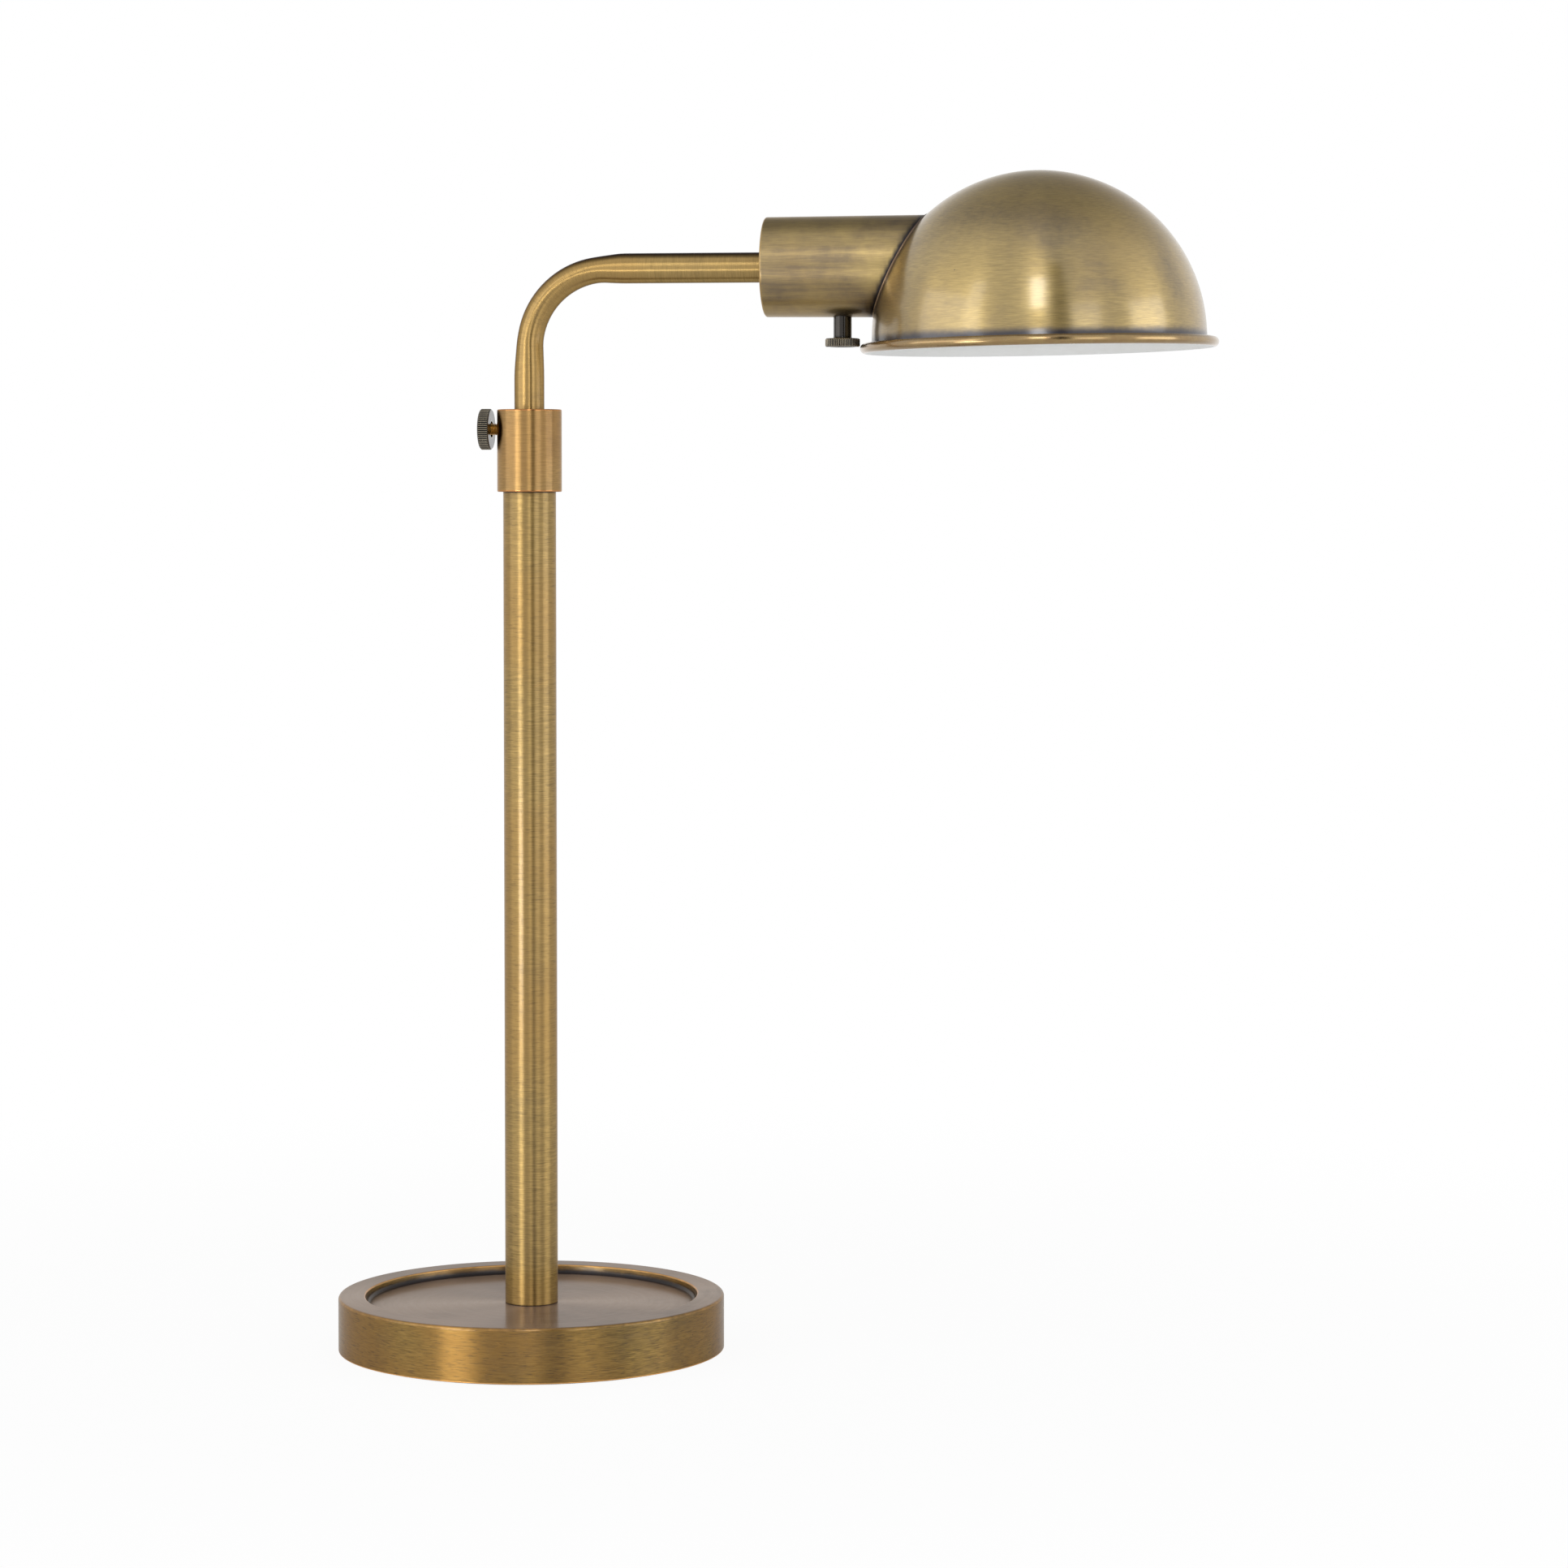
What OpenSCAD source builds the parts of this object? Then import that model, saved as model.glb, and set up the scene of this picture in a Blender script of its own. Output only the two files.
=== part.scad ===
// Desk lamp with a round weighted base, a telescoping arm and a dome shade.
// The origin is on the table under the stem, +Z is up and the arm points along +X.

/* [Base] */
// Diameter of the base
base_d = 165; // [150:1:190]
// Height of the base's raised ring above the table
base_h = 23.6; // [20:0.2:32]
// Depth of the round recess in the base's top
recess_depth = 3.8; // [2:0.1:5]
// Width of the raised ring around the recess
ring_w = 11.5; // [8:0.5:18]
// Sheet thickness of the base's cover
cover_wall = 1.2; // [0.8:0.1:2]
// Rounding of the cover's outer top edge
cover_edge_r = 1.2; // [0.4:0.1:2]
// Radius of the cove where the recess wall meets its floor
cove_r = 1.8; // [0.6:0.1:2]
// Height of the cover's lower edge above the table
cover_lift = 0.5; // [0.2:0.1:1.2]
// Thickness of the felt under the base
felt_t = 2; // [1.5:0.1:3]
// Depth of the nut pocket in the underside of the weight
pocket_depth = 10; // [9.5:0.1:11.5]
// Diameter of the nut pocket
pocket_d = 36; // [34:0.5:60]

/* [Cord inlet] */
// Height of the cord inlet above the table
inlet_z = 9; // [8.5:0.1:10]
// Bore of the cord inlet
inlet_bore_d = 6.5; // [4:0.1:7]
// Diameter of the inlet's flange
flange_d = 12; // [11:0.1:13]
// Diameter of the hole that the inlet snaps into
inlet_hole_d = 9; // [8:0.1:9.4]
// How far the flange stands out of the cover
flange_t = 1.5; // [1:0.1:3]

/* [Stem] */
// Outer diameter of the stem
stem_d = 22.5; // [20:0.1:26]
// Wall of the stem tube
stem_wall = 1.2; // [0.8:0.1:1.6]
// Length of the stem tube
stem_len = 362; // [300:1:420]
// Length of the threaded plug in the foot of the stem
plug_len = 20; // [14:0.5:40]
// Outer diameter of the threaded nipple that holds the base together
nipple_d = 10; // [8:0.1:12]
// Bore of the nipple
nipple_bore_d = 7; // [5:0.1:7.4]
// How far the nipple goes up into the plug
nipple_grip = 14; // [8:0.5:14]
// Outer diameter of the flat washer under the weight
base_washer_d = 30; // [24:0.5:33]
// Thickness of that flat washer
base_washer_t = 2; // [1:0.1:2.4]
// Thickness of the split lock washer
lock_washer_t = 1.6; // [1:0.1:1.8]
// Height of the nut under the weight
base_nut_h = 4; // [3:0.1:4.4]
// Width across the flats of that nut
base_nut_af = 16; // [14.5:0.1:19]

/* [Collar and thumb screw] */
// Outer diameter of the collar
collar_d = 27.5; // [25:0.1:34]
// Height of the collar
collar_h = 35; // [30:0.5:45]
// How far the collar goes down over the stem
collar_seat = 15; // [8:0.5:18]
// Depth of the screw's axis below the top of the collar
screw_drop = 8.4; // [5:0.1:12]
// Diameter of the screw's thread
screw_d = 5; // [4:0.1:6]
// Travel of the screw in one turn
screw_pitch = 0.8; // [0.5:0.05:1]
// Diameter of the knurled head
head_d = 17.4; // [14:0.1:19]
// Thickness of the knurled head
head_t = 4.7; // [3:0.1:7]
// Gap between the head and the collar with the screw tight
head_gap = 2.6; // [1.5:0.1:6]
// Length of the pressure pad at the screw's tip
pad_len = 3; // [2:0.1:4]
// Gap between the pad and the arm
pad_gap = 0.1; // [0.05:0.01:0.3]

/* [Arm] */
// Outer diameter of the arm tube
arm_d = 12.7; // [11.5:0.1:14]
// Wall of the arm tube
arm_wall = 1; // [0.8:0.1:1.3]
// Height of the arm's centre line above the collar
arm_rise = 59.5; // [50:0.5:120]
// Reach from the stem's axis to the end of the arm
arm_reach = 101; // [85:0.5:180]
// Radius of the arm's bend, on its centre line
bend_r = 33.5; // [22:0.5:36]
// Length of the arm's upright leg, from the centre line down
leg_len = 230; // [170:1:240]
// Length of the guide bush on the arm's foot
bush_len = 12; // [8:0.5:20]
// Diameter of the journal that the bush turns on
journal_d = 9; // [8:0.1:9.6]
// Diameter of the flange that keeps the bush on
foot_flange_d = 15; // [12:0.5:18]
// Thickness of that flange
foot_flange_t = 2.5; // [1.5:0.1:4]
// Bore for the cord through the arm's foot
foot_bore_d = 6; // [4:0.1:6.4]
// Length of the plugs pressed into the arm tube
arm_plug_len = 14; // [10:0.5:20]

/* [Head pivot] */
// Outer diameter of the pivot nipple
pivot_d = 8; // [6.5:0.1:8.6]
// Bore of the pivot nipple
pivot_bore_d = 5; // [4:0.1:5.4]
// Length of the pivot nipple past the end of the arm
pivot_len = 11; // [10.2:0.1:12]
// Thickness of the fibre friction washer
friction_t = 0.5; // [0.3:0.1:0.8]
// Outer diameter of the fibre friction washer
friction_d = 12.4; // [11:0.1:18]
// Outer diameter of the steel washers inside the housing
pivot_washer_d = 16; // [13:0.5:20]
// Thickness of the flat washer inside the housing
pivot_washer_t = 1; // [0.6:0.1:1.2]
// Thickness of the spring washer
spring_t = 0.5; // [0.3:0.1:0.6]
// Dish of the spring washer
spring_dish = 0.6; // [0.3:0.1:0.8]
// Height of the nut inside the housing
pivot_nut_h = 3; // [2.5:0.1:3.4]
// Width across the flats of the nut inside the housing
pivot_nut_af = 13; // [11.5:0.1:14]

/* [Socket housing] */
// Diameter of the housing at its back
housing_back_d = 42; // [41:0.1:46]
// Diameter of the housing where it meets the shade
housing_front_d = 43; // [42.5:0.1:47]
// Sheet thickness of the housing
housing_wall = 1.1; // [0.8:0.1:1.2]
// Rounding of the housing's back edge
housing_edge_r = 1; // [0.3:0.1:2]

/* [Shade] */
// Outer radius of the dome
shade_r = 70; // [66:0.5:90]
// Sheet thickness of the dome
shade_wall = 1; // [0.8:0.1:1.6]
// Distance from the housing's back to the dome's centre
shade_reach = 115.5; // [112:0.5:130]
// Depth of the dome's centre below the arm's centre line
shade_drop = 30.4; // [25:0.1:34]
// Diameter over the rolled rim
rim_d = 150; // [144:0.5:190]
// Diameter of the rolled rim's bead
bead_d = 4.2; // [3:0.1:5]
// Depth of the bead's centre below the dome's centre
bead_drop = 2.85; // [2.3:0.05:6]

/* [Socket] */
// Outer diameter of the lamp socket
socket_d = 33; // [32.6:0.1:34]
// Gap between the end of the pivot nipple and the socket's cover
socket_gap = 2.5; // [2.2:0.1:4]
// Thickness of the socket's rear cover
socket_cover_t = 2.5; // [2:0.1:4]
// Length of the switch chamber in the socket
chamber_len = 22.5; // [22:0.1:26]
// Diameter of the switch chamber
chamber_d = 26; // [22:0.1:27]
// Thickness of the web between the chamber and the bulb's cavity
web_t = 2.5; // [1.5:0.1:4]
// Depth of the cavity for the bulb
cavity_len = 26; // [24.5:0.5:32]
// Thickness of the socket's sheet metal strap
strap_t = 1.2; // [0.8:0.1:1.3]
// Width of the strap
strap_w = 14; // [10:0.5:15]
// Length of the strap's legs
strap_len = 24; // [22:0.5:30]
// Diameter of the two screws that hold the socket
strap_screw_d = 3; // [2.5:0.1:3.6]
// Diameter of the terminal screws' heads
terminal_d = 6; // [4:0.1:7]
// Distance of each terminal screw from the socket's axis
terminal_offset = 9; // [8.5:0.1:11]

/* [Switch] */
// Distance from the housing's back to the switch's axis
switch_reach = 32.7; // [31:0.1:34]
// Diameter of the switch knob
knob_d = 14.6; // [12:0.1:20]
// Thickness of the knob's knurled disc
knob_t = 3.6; // [2.5:0.1:6]
// Depth of the knob's underside below the arm's centre line
knob_drop = 33.6; // [31:0.1:40]
// Diameter of the knob's neck
neck_d = 7.7; // [6:0.1:9]
// Gap between the knob's neck and the hole in the housing
neck_gap = 0.35; // [0.3:0.01:0.6]
// Diameter of the switch spindle
spindle_d = 3.2; // [2.5:0.1:4]
// Diameter of the rotor inside the socket
rotor_d = 9; // [7:0.1:9.4]
// Thickness of the rotor
rotor_t = 5; // [3:0.1:6]

/* [Bulb] */
// Diameter of the bulb's globe
bulb_d = 60; // [45:1:62]
// Length of the bulb
bulb_len = 108; // [98:1:112]
// Wall of the bulb's glass
glass_wall = 0.8; // [0.5:0.1:1.2]
// Slope of the bulb's neck
neck_slope = 22; // [18:1:28]
// Diameter over the bulb cap's thread
cap_d = 26.2; // [25.8:0.1:26.4]
// Length of the bulb cap
cap_len = 25; // [24:0.5:26]
// Pitch of the thread of the cap and the screw shell
cap_pitch = 3.63; // [3.4:0.01:3.8]
// Depth of that thread
cap_thread = 0.9; // [0.6:0.05:1.1]
// Gap between the cap and the screw shell
shell_gap = 0.3; // [0.2:0.05:0.3]
// Sheet thickness of the screw shell
shell_wall = 0.4; // [0.3:0.05:0.4]

/* [Fits] */
// Running clearance around every shaft, on the radius
run_clear = 0.08; // [0.03:0.01:0.1]
// End play of the guide bush
bush_play = 0.15; // [0.1:0.05:0.3]
// Gap between the weight and the cover, on the radius
weight_gap = 0.4; // [0.3:0.1:1]
// Clearance around a bolt or nipple in a plain hole, on the radius
bolt_clear = 0.3; // [0.1:0.1:0.5]

/* [Hidden] */
$fn = 96;
past = 1;                       // how far a cut runs past the face it opens
arc_step = 7.5;                 // angle between the points of a drawn arc

base_r = base_d / 2;
floor_z = base_h - recess_depth;
ring_in_r = base_r - ring_w;
recess_draft = 0.6;             // how far the recess wall leans in
inner_edge_r = 0.6;             // rounding of the ring's inner edge
cover_in_r = base_r - cover_wall;
weight_r = cover_in_r - weight_gap;
weight_top = floor_z - cover_wall;
pocket_top = felt_t + pocket_depth;
nipple_r = nipple_d / 2;
nipple_hole_r = nipple_r + bolt_clear;
channel_w = inlet_bore_d + 2;
inlet_len = 4;                  // depth of the inlet behind the cover's wall
barb_r = inlet_hole_d / 2 + 0.6;
barb_gap = 0.5;                 // room around the barb in the weight
lock_washer_r = 9;
lock_split = 2;                 // gap in the lock washer's ring
nut_tail = 1;                   // nipple thread that shows below the nut
base_nut_z = pocket_top - base_washer_t - lock_washer_t - base_nut_h;

stem_r = stem_d / 2;
stem_in_r = stem_r - stem_wall;
stem_top = floor_z + stem_len;

collar_r = collar_d / 2;
collar_z = stem_top - collar_seat;
collar_top = collar_z + collar_h;
collar_edge = 0.5;              // chamfer of the collar's edges
arm_r = arm_d / 2;
arm_in_r = arm_r - arm_wall;
arm_bore_r = arm_r + run_clear;
screw_z = collar_top - screw_drop;
screw_r = screw_d / 2;
pad_face = arm_r + pad_gap;
screw_tip = pad_face + pad_len;
head_face = collar_r + head_gap;
knurl_pitch = 0.9;              // spacing of the straight knurl
knurl_depth = 0.3;

arm_z = collar_top + arm_rise;
leg_foot = arm_z - leg_len;
journal_r = journal_d / 2;
journal_len = bush_len + 2 * bush_play;
bush_z = leg_foot - bush_play - bush_len;
bush_slit = 1.5;                // slit that lets the bush snap on

pivot_r = pivot_d / 2;
pivot_hole_r = pivot_r + run_clear;
housing_x = arm_reach + friction_t;
housing_back_r = housing_back_d / 2;
housing_front_r = housing_front_d / 2;
strap_x = housing_x + housing_wall;
washer_x = strap_x + strap_t;
spring_x = washer_x + pivot_washer_t;
pivot_nut_x = spring_x + spring_t + spring_dish;
pivot_end = arm_reach + pivot_len;

shade_x = housing_x + shade_reach;
shade_z = arm_z - shade_drop;
bead_r = bead_d / 2;
bead_x = rim_d / 2 - bead_r;
shade_in_r = shade_r - shade_wall;
rim_flare = 0.8;                // how far the skirt spreads just above the bead
// Where the housing's wall meets the dome, on top and to one side
seam_top = sqrt(pow(shade_r, 2) - pow(shade_drop + housing_front_r, 2));
housing_len = shade_reach - seam_top + 2;
function housing_r(x) = housing_back_r + (housing_front_r - housing_back_r) * (x - housing_x) / housing_len;
mouth_r = housing_back_r - housing_wall;

socket_r = socket_d / 2;
socket_x = pivot_end + socket_gap;
chamber_x = socket_x + socket_cover_t;
web_x = chamber_x + chamber_len;
cavity_x = web_x + web_t;
socket_end = cavity_x + cavity_len;
strap_face = socket_r - 0.5;    // flat on the socket that the strap bears on
strap_hole_x = chamber_x + 4;
strap_screw_r = strap_screw_d / 2;
strap_screw_len = 5;
strap_head_t = 1.4;
terminal_t = 1.6;
slot_w = 0.8;                   // driver slot in the small screws
slot_depth = 0.7;

switch_x = housing_x + switch_reach;
knob_z = arm_z - knob_drop;
neck_r = neck_d / 2;
neck_top = arm_z - mouth_r + 0.4;
spindle_r = spindle_d / 2;
spindle_foot = knob_z + 1.6;
rotor_z = arm_z - rotor_t + 1;
rotor_lobe = 2.2;               // depth of the rotor's four notches

cap_r = cap_d / 2;
shell_in_r = cap_r + shell_gap;
shell_out_r = shell_in_r + shell_wall;
shell_len = cavity_len - 2;
tip_rise = 5.5;                 // where the bulb's tip sits in the cavity
tip_x = cavity_x + tip_rise;
tip_t = 1.4;
tip_r = 4.6;
skirt_u = 5.2;                  // where the cap's metal starts, from the tip
skirt_r = 11;
bulb_r = bulb_d / 2;
bulb_neck_r = cap_r - cap_thread - 0.2;
leaf_t = 0.5;
leaf_w = 5;
rivet_r = 1.5;
rivet_rise = 7;                 // height of the contact's rivet above the axis
rivet_pad = 4;                  // height of the contact's foot round its rivet
contact_gap = 0.4;              // between the contact's foot and the screw shell's floor
shell_hole_r = norm([rivet_rise + rivet_pad / 2, leaf_w / 2]) + contact_gap;

// Points of an arc around [x, y], from angle a to angle b
function arc(x, y, r, a, b) =
    let (n = max(2, ceil(abs(b - a) / arc_step)))
    [for (i = [0:n]) let (t = a + (b - a) * i / n) [x + r * cos(t), y + r * sin(t)]];

// Outline of a rolled thread with its crests at r, as [radius, place] points from u0 to u1
// The place is counted from the piece's own foot, and start is where that foot is in the cavity
function thread(r, u0, u1, start) =
    let (n = ceil((u1 - u0) / cap_pitch * 8))
    [for (i = [0:n]) let (u = u0 + (u1 - u0) * i / n)
        [r - cap_thread / 2 + cap_thread / 2 * cos(360 * (u + start) / cap_pitch), u]];

// Plain tube or washer standing on the origin
module ring(r_out, r_in, h) {
    rotate_extrude() translate([r_in, 0]) square([r_out - r_in, h]);
}

// Lays a child that stands along +Z down along the arm, its foot at x
module along_arm(x) {
    translate([x, 0, arm_z]) rotate([0, 90, 0]) children();
}

// Lays a child that stands along +Z out of the collar on the thumb screw's side
module along_screw(out) {
    translate([-out, 0, screw_z]) rotate([0, -90, 0]) children();
}

// Straight-knurled disc with plain chamfered faces
module knurled_disc(d, t, edge) {
    teeth = round(PI * d / knurl_pitch);
    core_r = d / 2 - 1.5 * knurl_depth;
    translate([0, 0, edge]) linear_extrude(t - 2 * edge)
        polygon([for (i = [0:2 * teeth - 1])
            let (r = d / 2 - (i % 2) * knurl_depth, a = 180 * i / teeth) [r * cos(a), r * sin(a)]]);
    rotate_extrude() polygon([[0, 0], [core_r - edge, 0], [core_r, edge],
        [core_r, t - edge], [core_r - edge, t], [0, t]]);
}

// Slotted round screw head on the origin with its shank below
module small_screw(head_r, head_t, shank_r, shank_len) {
    difference() {
        union() {
            cylinder(h = head_t, r = head_r);
            translate([0, 0, -shank_len]) cylinder(h = shank_len + head_t / 2, r = shank_r);
        }
        translate([-slot_w / 2, -head_r - past, head_t - slot_depth])
            cube([slot_w, 2 * (head_r + past), slot_depth + past]);
    }
}

// Base

module base_shell() {
    color("#8f7650") difference() {
        rotate_extrude() polygon(concat(
            [[nipple_hole_r, floor_z]],
            arc(ring_in_r - recess_draft - cove_r, floor_z + cove_r, cove_r, -90, 0),
            arc(ring_in_r + inner_edge_r, base_h - inner_edge_r, inner_edge_r, 180, 90),
            arc(base_r - cover_edge_r, base_h - cover_edge_r, cover_edge_r, 90, 0),
            [[base_r, cover_lift], [cover_in_r, cover_lift], [cover_in_r, base_h - cover_wall],
             [ring_in_r + cover_wall, base_h - cover_wall], [ring_in_r + cover_wall, weight_top],
             [nipple_hole_r, weight_top]]));
        translate([0, 0, inlet_z]) rotate([-90, 0, 0]) cylinder(h = base_r + past, r = inlet_hole_d / 2);
    }
}

module base_weight() {
    bush_back = cover_in_r - inlet_len - barb_gap;
    bush_room = barb_r + barb_gap;
    color("#4a4a4c") difference() {
        translate([0, 0, felt_t]) ring(weight_r, nipple_hole_r, weight_top - felt_t);
        translate([0, 0, felt_t - past]) cylinder(h = pocket_depth + past, d = pocket_d);
        translate([-channel_w / 2, 0, felt_t - past]) cube([channel_w, base_r, pocket_depth + past]);
        translate([-bush_room, bush_back, felt_t - past])
            cube([2 * bush_room, inlet_len + 3, inlet_z + bush_room - felt_t + past]);
    }
}

module felt_pad() {
    color("#3d4a3c") cylinder(h = felt_t, r = weight_r);
}

module cord_bushing() {
    color("#2b2620") difference() {
        translate([0, 0, inlet_z]) rotate([-90, 0, 0]) difference() {
            union() {
                translate([0, 0, cover_in_r - past]) cylinder(h = cover_wall + flange_t + past, d = flange_d);
                translate([0, 0, cover_in_r - inlet_len]) cylinder(h = inlet_len + past, r = barb_r);
            }
            translate([0, 0, cover_in_r - inlet_len - past])
                cylinder(h = inlet_len + cover_wall + flange_t + 2 * past, d = inlet_bore_d);
        }
        // The cover's own wall, with the hole that the neck fills
        difference() {
            translate([0, 0, inlet_z - flange_d]) ring(base_r, cover_in_r, 2 * flange_d);
            translate([0, 0, inlet_z]) rotate([-90, 0, 0]) cylinder(h = base_r + past, r = inlet_hole_d / 2);
        }
        // Flange material that would lie inside the cover, outside the barb
        translate([0, 0, inlet_z]) rotate([-90, 0, 0]) difference() {
            translate([0, 0, cover_in_r - 2 * past]) cylinder(h = 2.2 * past, r = flange_d);
            translate([0, 0, cover_in_r - 3 * past]) cylinder(h = 6 * past, r = barb_r);
        }
    }
}

module stem_nipple() {
    foot = base_nut_z - nut_tail;
    color("#b08d57") translate([0, 0, foot]) ring(nipple_r, nipple_bore_d / 2, floor_z + nipple_grip - foot);
}

module base_washer() {
    color("#9a9a9c") translate([0, 0, pocket_top - base_washer_t])
        ring(base_washer_d / 2, nipple_hole_r, base_washer_t);
}

module base_lock_washer() {
    color("#85858a") translate([0, 0, base_nut_z + base_nut_h]) difference() {
        ring(lock_washer_r, nipple_hole_r, lock_washer_t);
        translate([0, -lock_split / 2, -past])
            cube([2 * lock_washer_r, lock_split, lock_washer_t + 2 * past]);
    }
}

module hex_nut(af, hole_r, h) {
    difference() {
        cylinder(h = h, r = af / 2 / cos(30), $fn = 6);
        translate([0, 0, -past]) cylinder(h = h + 2 * past, r = hole_r);
    }
}

module base_nut() {
    color("#a3a3a6") translate([0, 0, base_nut_z]) hex_nut(base_nut_af, nipple_r, base_nut_h);
}

// Stem, collar and clamp

module stem_tube() {
    color("#b29461") translate([0, 0, floor_z]) ring(stem_r, stem_in_r, stem_len);
}

module stem_plug() {
    color("#b08d57") translate([0, 0, floor_z]) ring(stem_in_r, nipple_r, plug_len);
}

module stem_collar() {
    color("#a28354") difference() {
        translate([0, 0, collar_z]) rotate_extrude() polygon([
            [stem_r, 0], [collar_r - collar_edge, 0], [collar_r, collar_edge],
            [collar_r, collar_h - collar_edge], [collar_r - collar_edge, collar_h],
            [arm_bore_r + collar_edge, collar_h], [arm_bore_r, collar_h - collar_edge],
            [arm_bore_r, collar_seat], [stem_r, collar_seat]]);
        along_screw(0) cylinder(h = collar_r + past, r = screw_r + run_clear);
    }
}

module clamp_pad() {
    color("#c9a55c") along_screw(pad_face) cylinder(h = pad_len, r = screw_r);
}

module thumb_screw() {
    thread_len = head_face - screw_tip;
    turns = floor(thread_len / screw_pitch);
    root_r = screw_r - 0.6 * screw_pitch;
    color("#4b4642") {
        along_screw(screw_tip) rotate_extrude() polygon(concat([[0, 0], [root_r, 0]],
            [for (i = [0:turns - 1], k = [0:3])
                [k == 1 || k == 2 ? screw_r : root_r, (i + [0.12, 0.44, 0.56, 0.88][k]) * screw_pitch]],
            [[root_r, thread_len + head_t / 2], [0, thread_len + head_t / 2]]));
        along_screw(head_face) knurled_disc(head_d, head_t, 0.5);
    }
}

// Arm

// Solid rod of radius r along the arm's centre line, longer by extra at both ends
module arm_rod(r, extra) {
    translate([0, 0, leg_foot - extra]) cylinder(h = leg_len - bend_r + extra, r = r);
    translate([bend_r, 0, arm_z - bend_r]) rotate([90, 0, 0]) rotate([0, 0, 90])
        rotate_extrude(angle = 90) translate([bend_r, 0]) circle(r = r);
    along_arm(bend_r) cylinder(h = arm_reach - bend_r + extra, r = r);
}

module arm_tube() {
    color("#9c8256") difference() {
        arm_rod(arm_r, 0);
        arm_rod(arm_in_r, past);
    }
}

module arm_foot() {
    bore_r = foot_bore_d / 2;
    color("#c9a55c") translate([0, 0, leg_foot - journal_len - foot_flange_t]) rotate_extrude() polygon([
        [bore_r, 0], [foot_flange_d / 2, 0], [foot_flange_d / 2, foot_flange_t],
        [journal_r, foot_flange_t], [journal_r, foot_flange_t + journal_len],
        [arm_in_r, foot_flange_t + journal_len],
        [arm_in_r, foot_flange_t + journal_len + arm_plug_len],
        [bore_r, foot_flange_t + journal_len + arm_plug_len]]);
}

module guide_bush() {
    color("#e6e1d6") translate([0, 0, bush_z]) difference() {
        ring(stem_in_r - run_clear, journal_r + run_clear, bush_len);
        translate([0, -bush_slit / 2, -past]) cube([stem_r, bush_slit, bush_len + 2 * past]);
    }
}

module arm_plug() {
    color("#c9a55c") along_arm(arm_reach - arm_plug_len) ring(arm_in_r, pivot_r, arm_plug_len);
}

module pivot_nipple() {
    start = arm_reach - arm_plug_len;
    color("#b08d57") along_arm(start) ring(pivot_r, pivot_bore_d / 2, pivot_end - start);
}

module friction_washer() {
    color("#5a4632") along_arm(arm_reach) ring(friction_d / 2, pivot_r, friction_t);
}

module pivot_washer() {
    color("#9a9a9c") along_arm(washer_x) ring(pivot_washer_d / 2, pivot_r, pivot_washer_t);
}

module spring_washer() {
    edge_r = pivot_washer_d / 2 - 0.5;
    color("#85858a") along_arm(spring_x) rotate_extrude() polygon([
        [edge_r, 0], [edge_r, spring_t], [pivot_r, spring_t + spring_dish], [pivot_r, spring_dish]]);
}

module pivot_nut() {
    color("#a3a3a6") along_arm(pivot_nut_x) hex_nut(pivot_nut_af, pivot_r, pivot_nut_h);
}

// Head

module shade_ball(r) {
    translate([shade_x, 0, shade_z]) sphere(r = r);
}

module socket_housing() {
    back = housing_back_r - housing_edge_r;
    color("#8e7c5f") difference() {
        along_arm(housing_x) rotate_extrude() polygon(concat(
            [[pivot_hole_r, 0]],
            arc(back, housing_edge_r, housing_edge_r, -90, 0),
            [[housing_front_r, housing_len], [housing_front_r - housing_wall, housing_len],
             [mouth_r, housing_wall], [pivot_hole_r, housing_wall]]));
        shade_ball(shade_r);
        translate([switch_x, 0, knob_z]) cylinder(h = knob_drop - socket_r, r = neck_r + neck_gap);
    }
}

// Dome with its skirt and rolled bead, the dome's centre on the origin
module dome_and_rim() {
    // A line from the dome's inner edge meets the bead just where it touches it
    d = sqrt(pow(bead_x - shade_in_r, 2) + pow(bead_drop, 2));
    lean = atan2(bead_drop, bead_x - shade_in_r) + asin(bead_r / d);
    reach = sqrt(pow(d, 2) - pow(bead_r, 2));
    rotate_extrude() intersection() {
        difference() {
            circle(r = shade_r);
            circle(r = shade_in_r);
        }
        square(shade_r + past);
    }
    rotate_extrude() polygon([[shade_in_r, 0], [shade_r - shade_wall / 2, 2 * shade_wall], [shade_r, 0],
        [shade_r + rim_flare, bead_r / 2 - bead_drop], [bead_x, -bead_drop],
        [shade_in_r + reach * cos(lean), -reach * sin(lean)]]);
    rotate_extrude() translate([bead_x, -bead_drop]) circle(r = bead_r);
}

module shade_shell() {
    color("#a58c5c") difference() {
        translate([shade_x, 0, shade_z]) dome_and_rim();
        along_arm(shade_x - shade_r) cylinder(h = shade_r, r = mouth_r);
    }
}

module socket_strap() {
    half = strap_face + strap_t;
    color("#9a9a9c") difference() {
        along_arm(strap_x) union() {
            translate([-strap_w / 2, -half, 0]) cube([strap_w, 2 * half, strap_t]);
            for (side = [0, 180]) rotate([0, 0, side])
                translate([-strap_w / 2, strap_face, 0]) cube([strap_w, strap_t, strap_len]);
        }
        along_arm(strap_x - past) cylinder(h = strap_t + 2 * past, r = pivot_hole_r);
        translate([strap_hole_x, 0, arm_z]) rotate([90, 0, 0])
            cylinder(h = 3 * socket_r, r = strap_screw_r + bolt_clear / 3, center = true);
    }
}

module strap_screws() {
    color("#b0b0b3") for (side = [-1, 1])
        translate([strap_hole_x, side * (strap_face + strap_t), arm_z]) rotate([-90 * side, 0, 0])
            small_screw(strap_screw_r + 1.1, strap_head_t, strap_screw_r, strap_screw_len);
}

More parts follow.
